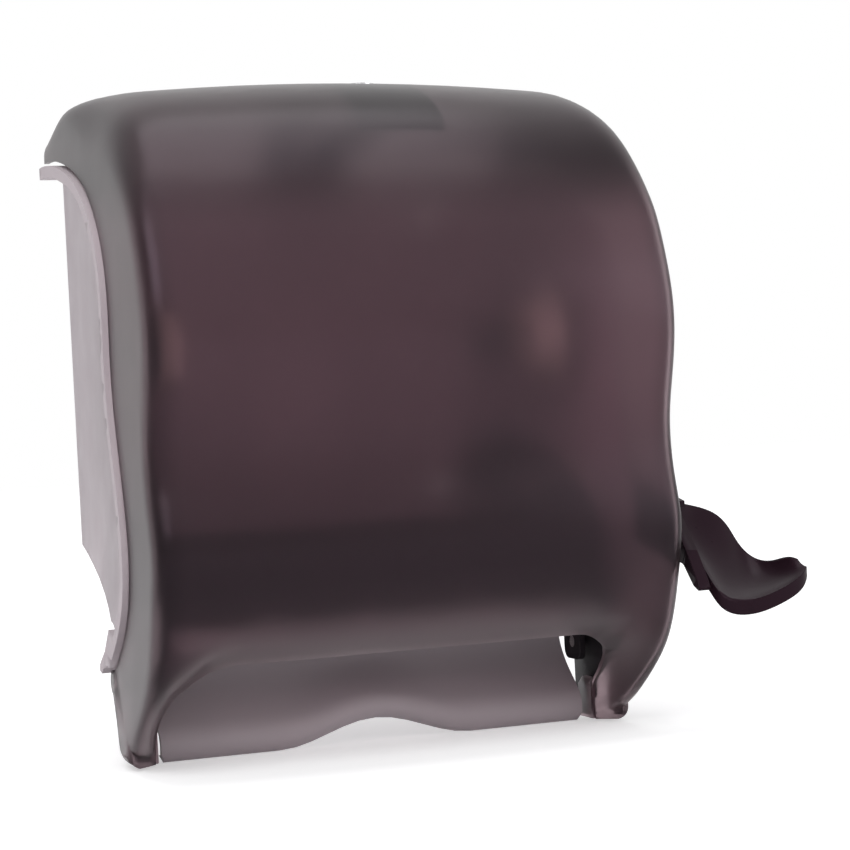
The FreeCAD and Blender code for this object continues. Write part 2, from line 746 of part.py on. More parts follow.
def one_way_clutch():
    """Clutch sleeve in the pinion that grips the shaft one way only."""
    return ring_x(FEED_AXIS, SHAFT_R + CLUTCH_WALL, SHAFT_R, GEAR_START, GEAR_END)


def lever_shaft():
    """Shaft that joins the lever to the sector."""
    return rod_x(LEVER_AXIS, SHAFT_R, LEVER_SHAFT_START, LEVER_OUTER)


LEVER_SHAFT_START = ARM_INNER - 0.6
SPRING_WIRE_R = 0.8
SPRING_TURNS = 2
SPRING_PITCH = 1.7
SPRING_MEAN_R = SHAFT_R + SPRING_WIRE_R + 0.6
SPRING_ANGLE = 200.0
SPRING_LEG = 17.0
PEG_R = 1.8


def spring_peg():
    """Section point of the frame's peg that holds the return spring's fixed leg."""
    leg = stepped(stepped(LEVER_AXIS, SPRING_MEAN_R, SPRING_ANGLE), SPRING_LEG - 3, SPRING_ANGLE + 90)
    return stepped(leg, SPRING_WIRE_R + PEG_R + 0.25, SPRING_ANGLE)


def coil(axis, mean_r, wire_r, turns, pitch, x_start, angle_start, legs):
    """Torsion spring: a helix of arcs along X with two straight tangent legs."""
    def point(angle):
        forward, up = direction(angle)
        x = x_start + pitch * (angle - angle_start) / 360
        return at(x, axis[0] + mean_r * forward, axis[1] + mean_r * up)

    edges = []
    steps = int(turns * 4)
    for i in range(steps):
        a = angle_start + 90 * i
        edges.append(Part.Arc(point(a), point(a + 45), point(a + 90)).toShape())
    first, last = edges[0], edges[-1]
    start = first.Vertexes[0].Point
    end = last.Vertexes[-1].Point
    heading = first.tangentAt(first.FirstParameter)
    heading = Vector(0, heading.y, heading.z).normalize()
    leaving = last.tangentAt(last.LastParameter)
    leaving = Vector(0, leaving.y, leaving.z).normalize()
    run_in = start - heading * legs[0]
    run_out = end + leaving * legs[1]
    edges.insert(0, Part.LineSegment(run_in, start).toShape())
    edges.append(Part.LineSegment(end, run_out).toShape())
    spine = Part.Wire(edges)
    circle = Part.Circle(run_in, heading, wire_r)
    ring = polygon([circle.value(math.pi * i / 4) for i in range(8)])
    return spine.makePipeShell([ring], True, False)


def lever_return_spring():
    """Torsion spring that lifts the lever again."""
    start = LEVER_SHAFT_START + SPRING_WIRE_R + 0.1
    return coil(LEVER_AXIS, SPRING_MEAN_R, SPRING_WIRE_R, SPRING_TURNS, SPRING_PITCH, start,
                SPRING_ANGLE, (6, SPRING_LEG))


# Rollers

def feed_roller():
    """Drum of the feed roller with a seat for each grip ring."""
    core_r = FEED_R - GRIP_WALL
    half = ARM_INNER
    drum = ring_x(FEED_AXIS, core_r, SHAFT_R, -half, half)
    for x in grip_centres():
        for edge in (x - GRIP_WIDTH / 2 - 1.5, x + GRIP_WIDTH / 2):
            drum = drum.fuse(ring_x(FEED_AXIS, core_r + 0.7, SHAFT_R + 1, edge, edge + 1.5))
    for x in (-GRIP_PITCH, 0, GRIP_PITCH):
        drum = drum.cut(ring_x(FEED_AXIS, core_r + 1, core_r - 3, x - 5, x + 5))
    return drum.removeSplitter()


def grip_centres():
    """Side positions of the grip rings."""
    return [GRIP_PITCH * (i - 1.5) for i in range(4)]


def feed_roller_grips():
    """Rubber rings that grip the towel."""
    core_r = FEED_R - GRIP_WALL
    return [
        ring_x(FEED_AXIS, FEED_R, core_r, x - GRIP_WIDTH / 2, x + GRIP_WIDTH / 2)
        for x in grip_centres()
    ]


def feed_roller_shaft():
    """Steel shaft of the feed roller, out to the pinion."""
    return rod_x(FEED_AXIS, SHAFT_R, -FRAME_OUTER - 2.2, GEAR_END + 1.8)


def shaft_clips():
    """Retaining rings at the two ends of the feed roller shaft."""
    wall = 0.8
    left = ring_x(FEED_AXIS, SHAFT_R + 2.4, SHAFT_R, -FRAME_OUTER - 1.7, -FRAME_OUTER - 1.7 + wall)
    right = ring_x(FEED_AXIS, SHAFT_R + 2.4, SHAFT_R, GEAR_END + 0.4, GEAR_END + 0.4 + wall)
    return [left, right]


PINCH_PLATE_OUTER = FRAME_INNER - 3
PINCH_PLATE_INNER = PINCH_PLATE_OUTER - 3


def pinch_roller():
    """Pressure roller sleeve."""
    half = PINCH_PLATE_INNER - 3
    return ring_x(PINCH_AXIS, PINCH_R, PINCH_SHAFT_R, -half, half)


def pinch_roller_shaft():
    """Pressure roller shaft."""
    return rod_x(PINCH_AXIS, PINCH_SHAFT_R, -PINCH_PLATE_OUTER, PINCH_PLATE_OUTER)


# Outer and inner line of the pressure frame's curved guide, each from its foot up and back
PINCH_OUTER = [(149.5, 71.5), (156.4, 83), (156.4, 94), (149.5, 105), (134, 110.5)]
PINCH_INNER = [(134, 108), (147.8, 103.1), (153.9, 93.3), (153.9, 83.7), (147.4, 72.8)]


def pinch_frame():
    """Sprung frame in front of the feed roller: curved guide, ribs and two end plates."""
    guide = slab_x(rounded(PINCH_OUTER + PINCH_INNER, 7), -PINCH_PLATE_OUTER, PINCH_PLATE_OUTER)
    plate_points = [
        (117.5, 106), (120, 112), (134, 110), (148.5, 105), (155.4, 94), (155.4, 83.5),
        (149, 72.5), (133, 73.5), (126.5, 80), (128, 90), (119, 98),
    ]
    plate = slab_x(rounded(plate_points, 3), PINCH_PLATE_INNER, PINCH_PLATE_OUTER)
    plate = plate.cut([
        bore_x(PINCH_PIVOT, PINCH_PIN_R + RUNNING_FIT),
        bore_x(PINCH_AXIS, PINCH_SHAFT_R + RUNNING_FIT),
    ])
    solid = guide.fuse([plate, mirrored(plate)])
    for x in (-70, -35, 0, 35, 70):
        rib = slab_x(section([(155, 83), (155, 94), (149.5, 103), (146, 92)]), x - 0.9, x + 0.9)
        solid = solid.fuse(rib)
    return solid.removeSplitter()


def pinch_springs():
    """Torsion springs on the pressure frame's pins."""
    start = PINCH_PLATE_OUTER + PINCH_WIRE_R + SEAT_GAP
    mean_r = PINCH_PIN_R + PINCH_WIRE_R + 0.6
    right = coil(PINCH_PIVOT, mean_r, PINCH_WIRE_R, 1, 1.2, start, 0, (10, 12))
    return [mirrored(right), right]


# Roll arms

def roll_arm():
    """Right roll arm: hinge barrel, tapering arm and stud for the core plug."""
    x0, x1 = ARM_INNER, ARM_INNER + ARM_WALL
    middle = (x0 + x1) / 2
    centre = ROLL_AXIS[1]
    half = ARM_HEIGHT / 2
    barrel = rod_z(middle, ARM_PIVOT_DEPTH, ARM_PIN_R + 2, centre - half, centre + half)
    outline = [
        (ARM_PIVOT_DEPTH, centre - half), (ROLL_AXIS[0] - 8, centre - 7),
        (ROLL_AXIS[0] - 8, centre + 7), (ARM_PIVOT_DEPTH, centre + half),
    ]
    arm = slab_x(section(outline), x0, x1)
    arm = arm.fuse([barrel, rod_x(ROLL_AXIS, 15, x0, x1)])
    arm = arm.fuse(rod_x(ROLL_AXIS, 5, ARM_INNER - 10.5, x0 + 1))
    arm = arm.fuse(rod_x(ROLL_AXIS, 6.3, ARM_INNER - 12, ARM_INNER - 10.5))
    slot = [(28, centre - 4.5), (84, centre - 3), (84, centre + 3), (28, centre + 4.5)]
    arm = arm.cut(slab_x(rounded(slot, 2.5), x0 + 2.5, x1 + 1))
    arm = arm.cut(rod_z(middle, ARM_PIVOT_DEPTH, ARM_PIN_R + RUNNING_FIT, 0, 400))
    return arm.removeSplitter()


def core_plug():
    """Right core plug that turns on the arm's stud inside the roll's core."""
    flange_x = ROLL_WIDTH / 2 + SEAT_GAP
    outer_x = ARM_INNER - SEAT_GAP
    nose_x = ARM_INNER - 13
    profile = [
        (outer_x, 5 + RUNNING_FIT), (outer_x, 25), (flange_x, 25), (flange_x, CORE_R),
        (nose_x + 4, CORE_R), (nose_x, CORE_R - 3), (nose_x, 7), (ARM_INNER - 10.4, 7),
        (ARM_INNER - 10.4, 5 + RUNNING_FIT),
    ]
    points = [at(x, ROLL_AXIS[0], ROLL_AXIS[1] + radius) for x, radius in profile]
    plug = Part.Face(polygon(points)).revolve(at(0, *ROLL_AXIS), Vector(1, 0, 0), 360)
    for i in range(6):
        hole = stepped(ROLL_AXIS, 13, 60 * i)
        plug = plug.cut(rod_x(hole, 3, nose_x - 1, flange_x))
    return plug


def roll_arm_pins():
    """Upright hinge pins of the roll arms."""
    half = ARM_HEIGHT / 2 + 5.4
    x = ARM_INNER + ARM_WALL / 2
    centre = ROLL_AXIS[1]
    pin = rod_z(x, ARM_PIVOT_DEPTH, ARM_PIN_R, centre - half, centre + half)
    head = rod_z(x, ARM_PIVOT_DEPTH, ARM_PIN_R + 1.2, centre + half, centre + half + 1.2)
    pin = fused(pin, head)
    return [mirrored(pin), pin]


# Chute and tear bar

CHUTE_FRONT = [
    (106.2, 3.4), (109, 0.3), (112.8, 1.6), (114.4, 6.5), (113.2, 13), (108.5, 18.5), (101, 25),
    (93.5, 33), (89, 42), (88.4, 52), (89.8, 62), (91.4, 70), (91.6, 76), (89, 80), (84.5, 82.3),
    (79.3, 84.7),
]
# Height above which the wave has died out, and the small corner cut off each end of the lip
CHUTE_STILL = 41.0
LIP_CORNER = (1.6, 6.0)


def lip_lift(x):
    """Rise of the lip's wave at a side position."""
    if abs(x) >= LIP_WAVE_HALF:
        return 0.0
    return LIP_WAVE * (1 + math.cos(math.pi * x / LIP_WAVE_HALF)) / 2


def chute_section(x):
    """Wire of the chute's wall at one side position."""
    lift = lip_lift(x)
    front = []
    for depth, height in CHUTE_FRONT:
        share = min(1.0, max(0.0, (CHUTE_STILL - height) / (CHUTE_STILL - CHUTE_FRONT[3][1])))
        front.append((depth, height + lift * share))
    front_points = [at(x, *point) for point in shifted(front, 0, 18)]
    back_points = [at(x, *point) for point in shifted(front, CHUTE_WALL, 18)]
    edges = [
        curve(front_points, True).toShape(),
        Part.LineSegment(front_points[-1], back_points[-1]).toShape(),
        curve(back_points[::-1], True).toShape(),
        Part.LineSegment(back_points[0], front_points[0]).toShape(),
    ]
    return Part.Wire(edges)


def exit_chute():
    """Chute with a rolled lip that waves up in the middle, and an upper edge that meets the floor."""
    half = CHUTE_WIDTH / 2
    stations = [-half] + [LIP_WAVE_HALF * i / 6 for i in range(-6, 7)] + [half]
    panel = Part.makeLoft([chute_section(x) for x in stations], True, True)
    across, up = LIP_CORNER
    corner = Part.Face(polygon([
        at(half - across, 60, -1), at(half - across, 60, 1), at(half + 1, 60, 1 + up),
        at(half + 1, 60, -1),
    ])).extrude(Vector(0, -80, 0))
    return panel.cut([corner, mirrored(corner)])


def tear_screw_point():
    """Section point of the tear bar's end screws."""
    return TEAR_DEPTH + 5, TEAR_TOP - 3


def tear_bar():
    """Serrated steel strip with a stiffening flange and an ear at each end."""
    half = FRAME_INNER - 0.1
    count = int(2 * (PINCH_PLATE_INNER - 2) / TOOTH_PITCH)
    first = -count * TOOTH_PITCH / 2
    points = [at(half, TEAR_DEPTH, TEAR_TOP), at(half, TEAR_DEPTH, TEAR_EDGE + TOOTH_HEIGHT)]
    for i in range(count, 0, -1):
        x = first + i * TOOTH_PITCH
        points.append(at(x, TEAR_DEPTH, TEAR_EDGE + TOOTH_HEIGHT))
        points.append(at(x - TOOTH_PITCH / 2, TEAR_DEPTH, TEAR_EDGE))
    points.append(at(first, TEAR_DEPTH, TEAR_EDGE + TOOTH_HEIGHT))
    points.append(at(-half, TEAR_DEPTH, TEAR_EDGE + TOOTH_HEIGHT))
    points.append(at(-half, TEAR_DEPTH, TEAR_TOP))
    blade = Part.Face(polygon(points)).extrude(Vector(0, -TEAR_WALL, 0))
    flange = box(-half, half, TEAR_DEPTH, TEAR_DEPTH + 9, TEAR_TOP, TEAR_TOP + TEAR_WALL)
    ear = box(half - TEAR_WALL, half, TEAR_DEPTH, TEAR_DEPTH + 9, TEAR_EDGE + TOOTH_HEIGHT, TEAR_TOP + 0.5)
    ear = ear.cut(bore_x(tear_screw_point(), SCREW_R))
    return blade.fuse([flange, ear, mirrored(ear)]).removeSplitter()


def tear_bar_screws():
    """Screws through the side frames into the tear bar's ears."""
    point = tear_screw_point()
    shank = rod_x(point, SCREW_R, FRAME_INNER - 3.5, FRAME_OUTER)
    head = rod_x(point, SCREW_HEAD_R, FRAME_OUTER, FRAME_OUTER + SCREW_HEAD_H)
    screw = fused(shank, head)
    return [mirrored(screw), screw]


# Lock

def lock_housing(inner):
    """Pad under the cover's top that carries the lock barrel."""
    deeper = cover_form(COVER_WALL + 5, 20)
    pad = box(LOCK_X - 21, LOCK_X + 21, LOCK_DEPTH - 12, 166, 250, 340).common(inner).cut(deeper)
    pad = max(pad.Solids, key=lambda solid: solid.Volume)
    return pad.cut(rod_z(LOCK_X, LOCK_DEPTH, LOCK_R + RUNNING_FIT, 250, 400))


def lock_barrel():
    """Round barrel with a key slot, just proud of the cover's top."""
    top = LOCK_TOP
    barrel = rod_z(LOCK_X, LOCK_DEPTH, LOCK_R, LOCK_CAM_TOP, top)
    slot = box(LOCK_X - 4, LOCK_X + 4, LOCK_DEPTH - 0.8, LOCK_DEPTH + 0.8, top - 8, top + 1)
    return barrel.cut(slot)


def lock_cam():
    """Cam under the barrel, turned aside, with a tab that goes behind the strike."""
    foot = LOCK_CAM_TOP - LOCK_CAM_WALL
    disc = rod_z(LOCK_X, LOCK_DEPTH, LOCK_R, foot, LOCK_CAM_TOP)
    arm = box(LOCK_X, LOCK_X + 18, LOCK_DEPTH - 4, LOCK_DEPTH + 4, foot, LOCK_CAM_TOP)
    tab = rod_z(LOCK_X, LOCK_DEPTH, 20, foot - 3, LOCK_CAM_TOP)
    tab = tab.cut(rod_z(LOCK_X, LOCK_DEPTH, 17, foot - 4, LOCK_CAM_TOP + 1))
    tab = tab.common(box(LOCK_X, LOCK_X + 25, LOCK_DEPTH - 4, LOCK_DEPTH + 4, 290, 330))
    return fused(disc, arm, tab)


def lock_strike():
    """Bracket from the housing with the curved lip that the cam goes behind."""
    x0, x1 = LOCK_X - 16, LOCK_X + 16
    foot = STRIKE_PLATE_TOP - STRIKE_WALL
    plate = box(x0, x1, HOUSING_WALL, LOCK_DEPTH - 13, foot, STRIKE_PLATE_TOP)
    leg = box(x0, x1, HOUSING_WALL, HOUSING_WALL + STRIKE_WALL, HOUSING_TOP - 12, STRIKE_PLATE_TOP)
    lip = rod_z(LOCK_X, LOCK_DEPTH, 16.5, foot, STRIKE_PLATE_TOP + 3.2)
    lip = lip.cut(rod_z(LOCK_X, LOCK_DEPTH, 14.5, foot - 1, 330))
    lip = lip.common(box(LOCK_X - 8, LOCK_X + 8, 80, LOCK_DEPTH - 10, 290, 330))
    strike = fused(plate, leg, lip)
    for x in (x0 + 1.5, x1 - 1.5):
        rib = Part.Face(polygon([
            at(x - 0.9, HOUSING_WALL + 1, foot), at(x - 0.9, HOUSING_WALL + 26, foot),
            at(x - 0.9, HOUSING_WALL + 1, foot - 14),
        ])).extrude(Vector(1.8, 0, 0))
        strike = strike.fuse(rib)
    for x, z in strike_screw_points():
        strike = strike.cut(rod_y(x, z, SCREW_R + 0.1, 0, 20))
    return strike.removeSplitter()


# Lever

def paddle():
    """Scoop of the lever: a dished skin between two rails with an apron along its front."""
    rear = curve([at(LEVER_INNER + x, depth, height) for x, depth, height in PADDLE_REAR])
    front = curve([at(LEVER_INNER + x, depth, height) for x, depth, height in PADDLE_FRONT])
    count = 9
    wires = []
    for i in range(count):
        share = i / (count - 1)
        back = rear.value(rear.FirstParameter + (rear.LastParameter - rear.FirstParameter) * share)
        nose = front.value(front.FirstParameter + (front.LastParameter - front.FirstParameter) * share)
        span = nose - back
        across = Vector(span.x, span.y, 0).normalize()
        down = Vector(0, 0, -1)
        normal = across * (-span.z / span.Length) * -1 + down * (abs(across.dot(span)) / span.Length)
        normal.normalize()
        sag = 0.1 * span.Length
        middle = (back + nose) * 0.5 + normal * sag
        apron = nose + down * PADDLE_APRON * min(1.0, 0.65 + 3 * (1 - share))
        apron_in = apron - across * PADDLE_SKIN
        nose_in = nose - across * PADDLE_SKIN + down * (PADDLE_SKIN * 1.1)
        back_in = back + down * PADDLE_SKIN
        middle_in = (back_in + nose_in) * 0.5 + normal * sag
        wires.append(Part.Wire([
            Part.Arc(back, middle, nose).toShape(), Part.LineSegment(nose, apron).toShape(),
            Part.LineSegment(apron, apron_in).toShape(), Part.LineSegment(apron_in, nose_in).toShape(),
            Part.Arc(nose_in, middle_in, back_in).toShape(), Part.LineSegment(back_in, back).toShape(),
        ]))
    return Part.makeLoft(wires, True, False)


def lever():
    """Lever: hub, side arm and scooped paddle."""
    hub = rod_x(LEVER_AXIS, LEVER_HUB_R, LEVER_INNER - 1.2, LEVER_OUTER)
    outline = [
        stepped(LEVER_AXIS, LEVER_HUB_R, 90), (172, 111.5), (193, 88),
        (203, 74.5), (207, 68), (199, 71.5), (189, 81.5), stepped(LEVER_AXIS, LEVER_HUB_R, 262),
        stepped(LEVER_AXIS, LEVER_HUB_R - 2, 176),
    ]
    arm = slab_x(rounded(outline, 4), LEVER_INNER, LEVER_INNER + LEVER_WALL)
    spine = slab_x(section([
        stepped(LEVER_AXIS, LEVER_HUB_R - 0.5, 80), (170, 111), (170, 108),
        stepped(LEVER_AXIS, LEVER_HUB_R - 4, 80),
    ]), LEVER_INNER, LEVER_OUTER)
    solid = fused(hub, arm, spine, paddle())
    return solid.cut(rod_x(LEVER_AXIS, SHAFT_R, FRAME_OUTER, LEVER_OUTER + 1))


def lever_screw():
    """Screw and washer head that hold the lever on its shaft."""
    head = rod_x(LEVER_AXIS, 6.5, LEVER_OUTER, LEVER_OUTER + 1.2)
    return fused(head, rod_x(LEVER_AXIS, 4, LEVER_OUTER, LEVER_OUTER + 3.2))


def export(name, pieces):
    """Write one node, lowered so that the origin is the middle of the wall hole pattern."""
    solids = pieces if isinstance(pieces, list) else [pieces]
    parts = []
    for piece in solids:
        parts.extend(piece.Solids)
    shape = parts[0] if len(parts) == 1 else Part.makeCompound(parts)
    shape.translate(Vector(0, 0, -MOUNT_HEIGHT))
    shape.exportStep("parts/" + name + ".step")
    bounds = shape.optimalBoundingBox(False)
    print("%-22s %2d solids  valid %s  x %.1f..%.1f  y %.1f..%.1f  z %.1f..%.1f" % (
        name, len(parts), shape.isValid(), bounds.XMin, bounds.XMax, bounds.YMin, bounds.YMax,
        bounds.ZMin, bounds.ZMax))


def main():
    os.makedirs("parts", exist_ok=True)
    outer = cover_form(0.0, 5.0)
    inner = cover_form(COVER_WALL, 20.0)
    arm, plug = roll_arm(), core_plug()
    export("front_cover", front_cover(outer, inner))
    export("back_housing", back_housing())
    export("exit_chute", exit_chute())
    export("left_side_frame", mirrored(frame_plate()))
    export("right_side_frame", right_side_frame())
    export("frame_screws", frame_screws())
    export("roller_bushes", roller_bushes())
    export("lever_bushes", lever_bushes())
    export("cover_hinge_pins", cover_hinge_pins())
    export("lever", lever())
    export("lever_screw", lever_screw())
    export("lever_shaft", lever_shaft())
    export("sector_gear", sector_gear())
    export("lever_return_spring", lever_return_spring())
    export("idler_gear", idler_gear())
    export("idler_pin", idler_pin())
    export("drive_pinion", drive_pinion())
    export("one_way_clutch", one_way_clutch())
    export("feed_roller", feed_roller())
    export("feed_roller_grips", feed_roller_grips())
    export("feed_roller_shaft", feed_roller_shaft())
    export("shaft_clips", shaft_clips())
    export("pinch_frame", pinch_frame())
    export("pinch_frame_pins", pinch_frame_pins())
    export("pinch_springs", pinch_springs())
    export("pinch_roller", pinch_roller())
    export("pinch_roller_shaft", pinch_roller_shaft())
    export("left_roll_arm", mirrored(arm))
    export("right_roll_arm", arm)
    export("roll_arm_pins", roll_arm_pins())
    export("left_core_plug", mirrored(plug))
    export("right_core_plug", plug)
    export("tear_bar", tear_bar())
    export("tear_bar_screws", tear_bar_screws())
    export("lock_housing", lock_housing(inner))
    export("lock_barrel", lock_barrel())
    export("lock_cam", lock_cam())
    export("lock_strike", lock_strike())
    export("strike_screws", strike_screws())


main()
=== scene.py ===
"""Looks of the lever paper towel dispenser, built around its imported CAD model.

Lengths are in metres in the frame of the CAD model: X to the right, Y into the wall and Z up, with
the origin in the middle of the wall holes. Sections are given as (depth from the wall, height above
the foot) in millimetres, as the drawing of the part gives them.
"""

import json
import logging
import math
from dataclasses import dataclass, field
from enum import Enum
from typing import ClassVar

import bmesh
import bpy
from mathutils import Matrix, Vector

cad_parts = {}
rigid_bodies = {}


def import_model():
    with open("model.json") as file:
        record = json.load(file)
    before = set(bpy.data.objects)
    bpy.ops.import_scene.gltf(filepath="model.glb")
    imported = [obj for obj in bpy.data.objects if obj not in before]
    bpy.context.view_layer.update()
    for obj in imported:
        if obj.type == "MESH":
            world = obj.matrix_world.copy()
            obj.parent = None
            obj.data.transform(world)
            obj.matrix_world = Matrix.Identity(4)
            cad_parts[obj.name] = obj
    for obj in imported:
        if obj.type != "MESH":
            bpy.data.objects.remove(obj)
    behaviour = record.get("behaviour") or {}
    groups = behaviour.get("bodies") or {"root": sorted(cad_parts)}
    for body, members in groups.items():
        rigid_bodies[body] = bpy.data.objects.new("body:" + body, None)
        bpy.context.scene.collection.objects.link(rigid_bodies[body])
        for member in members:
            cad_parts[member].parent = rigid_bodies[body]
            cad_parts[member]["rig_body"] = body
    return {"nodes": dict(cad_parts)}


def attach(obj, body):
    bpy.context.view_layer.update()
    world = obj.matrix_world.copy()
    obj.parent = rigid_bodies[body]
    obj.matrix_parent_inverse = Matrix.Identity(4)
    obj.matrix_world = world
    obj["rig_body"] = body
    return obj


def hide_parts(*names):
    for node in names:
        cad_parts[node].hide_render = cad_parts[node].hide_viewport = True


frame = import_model()

log = logging.getLogger("dispenser")

MILLIMETRE = 0.001
FOOT_DROP = 195.0
WELD_DISTANCE = 2e-6
SLIVER_LENGTH = 1e-7
PIECE_ANGLE = 40.0
COIL_STEPS = 32
Colour = tuple[float, float, float]
Section = tuple[float, float]


class Slot(Enum):
    """Material slots of the CAD record."""

    COVER = "frosted_cover"
    LEVER = "lever_plastic"
    HOUSING = "housing_plastic"
    MECHANISM = "mechanism_plastic"
    GEAR = "gear_plastic"
    RUBBER = "roller_rubber"
    SHAFT = "shaft_steel"
    SCREW = "screw_steel"
    SPRING = "spring_steel"
    BLADE = "blade_steel"


class Axis(Enum):
    """Axes of the scene that a finish may change along."""

    SIDEWAYS = 0
    UPWARDS = 2


class Grain(Enum):
    """Ways in which a metal surface is worked."""

    DRAWN = "drawn"
    BRUSHED = "brushed"
    PLATED = "plated"


def place(x: float, depth: float, height: float) -> Vector:
    """Turn drawing millimetres into a point of the scene.

    Args:
        x: Side position.
        depth: Distance in front of the wall.
        height: Height above the foot of the cover.

    Returns:
        The point in metres.
    """
    return Vector((x, -depth, height - FOOT_DROP)) * MILLIMETRE


def stepped(point: Section, distance: float, angle: float) -> Section:
    """Step from a section point.

    Args:
        point: Depth and height.
        distance: Length of the step.
        angle: Degrees from forward towards up.

    Returns:
        The new section point.
    """
    turn = math.radians(angle)
    return point[0] + distance * math.cos(turn), point[1] + distance * math.sin(turn)


class NodeSheet:
    """A node tree with short calls that add and join nodes."""

    def __init__(self, tree: bpy.types.NodeTree) -> None:
        """Keep the tree and empty it.

        Args:
            tree: Shader or geometry node tree.
        """
        self.tree = tree
        tree.nodes.clear()

    def add(self, kind: str, **settings: object) -> bpy.types.Node:
        """Add a node.

        Args:
            kind: Node type without the tree's prefix rules, as Blender names it.
            **settings: Properties of the node.

        Returns:
            The new node.
        """
        node = self.tree.nodes.new(kind)
        for name, value in settings.items():
            setattr(node, name, value)
        return node

    def join(self, source: bpy.types.NodeSocket, target: bpy.types.NodeSocket) -> None:
        """Link an output to an input."""
        self.tree.links.new(source, target)

    def noise(
        self, scale: float, detail: float, stretch: Vector, roughness: float = 0.5
    ) -> bpy.types.NodeSocket:
        """Add a noise texture on object coordinates.

        Args:
            scale: Cells per metre.
            detail: Octaves.
            stretch: Scale along each axis.
            roughness: Share of the finer octaves.

        Returns:
            The noise's value output.
        """
        coordinates = self.add("ShaderNodeTexCoord")
        mapping = self.add("ShaderNodeMapping")
        mapping.inputs["Scale"].default_value = stretch
        texture = self.add("ShaderNodeTexNoise")
        texture.inputs["Scale"].default_value = scale
        texture.inputs["Detail"].default_value = detail
        texture.inputs["Roughness"].default_value = roughness
        self.join(coordinates.outputs["Object"], mapping.inputs["Vector"])
        self.join(mapping.outputs["Vector"], texture.inputs["Vector"])
        return texture.outputs["Fac"]

    def spread(self, value: bpy.types.NodeSocket, low: float, high: float) -> bpy.types.NodeSocket:
        """Map the middle of a noise value onto a range.

        Args:
            value: Noise from 0 to 1.
            low: Result at 0.3.
            high: Result at 0.7.

        Returns:
            The mapped value.
        """
        ranged = self.add("ShaderNodeMapRange")
        ranged.inputs["From Min"].default_value = 0.3
        ranged.inputs["From Max"].default_value = 0.7
        ranged.inputs["To Min"].default_value = low
        ranged.inputs["To Max"].default_value = high
        self.join(value, ranged.inputs["Value"])
        return ranged.outputs["Result"]

    def tinted(self, value: bpy.types.NodeSocket, first: Colour, second: Colour) -> bpy.types.NodeSocket:
        """Blend two colours by a noise value.

        Args:
            value: Noise from 0 to 1.
            first: Colour where the noise is low.
            second: Colour where it is high.

        Returns:
            The colour output.
        """
        ramp = self.add("ShaderNodeValToRGB")
        ramp.color_ramp.elements[0].position = 0.3
        ramp.color_ramp.elements[1].position = 0.7
        ramp.color_ramp.elements[0].color = (*first, 1)
        ramp.color_ramp.elements[1].color = (*second, 1)
        self.join(value, ramp.inputs["Fac"])
        return ramp.outputs["Color"]


    def painted_shade(self, colour: bpy.types.NodeSocket, shade_band: "PaintedShadeBand") -> bpy.types.NodeSocket:
        """Paint shade into a colour along one axis of the object.

        Args:
            colour: Colour before it.
            shade_band: Where it starts and ends, and how much of the colour is left.

        Returns:
            The colour output.
        """
        coordinates = self.add("ShaderNodeTexCoord")
        axes = self.add("ShaderNodeSeparateXYZ")
        self.join(coordinates.outputs["Object"], axes.inputs[0])
        place_of = axes.outputs[shade_band.axis.value]
        if shade_band.both_sides:
            size = self.add("ShaderNodeMath", operation="ABSOLUTE")
            self.join(place_of, size.inputs[0])
            place_of = size.outputs[0]
        ranged = self.add("ShaderNodeMapRange", interpolation_type="SMOOTHSTEP")
        limits = {"From Min": shade_band.start, "From Max": shade_band.end, "To Min": 1.0, "To Max": shade_band.share}
        for label, value in limits.items():
            ranged.inputs[label].default_value = value
        self.join(place_of, ranged.inputs["Value"])
        scaled = self.add("ShaderNodeVectorMath", operation="SCALE")
        self.join(colour, scaled.inputs[0])
        self.join(ranged.outputs["Result"], scaled.inputs["Scale"])
        return scaled.outputs["Vector"]


def shaded(colour: Colour, share: float) -> Colour:
    """Scale a colour.

    Args:
        colour: Linear colour.
        share: Factor.

    Returns:
        The scaled colour.
    """
    return tuple(min(1.0, channel * share) for channel in colour)


@dataclass(frozen=True)
class PaintedShadeBand:
    """Stretch of one axis, in metres, over which painted shade darkens the colour of a plastic."""

    axis: Axis
    start: float
    end: float
    share: float
    both_sides: bool = False


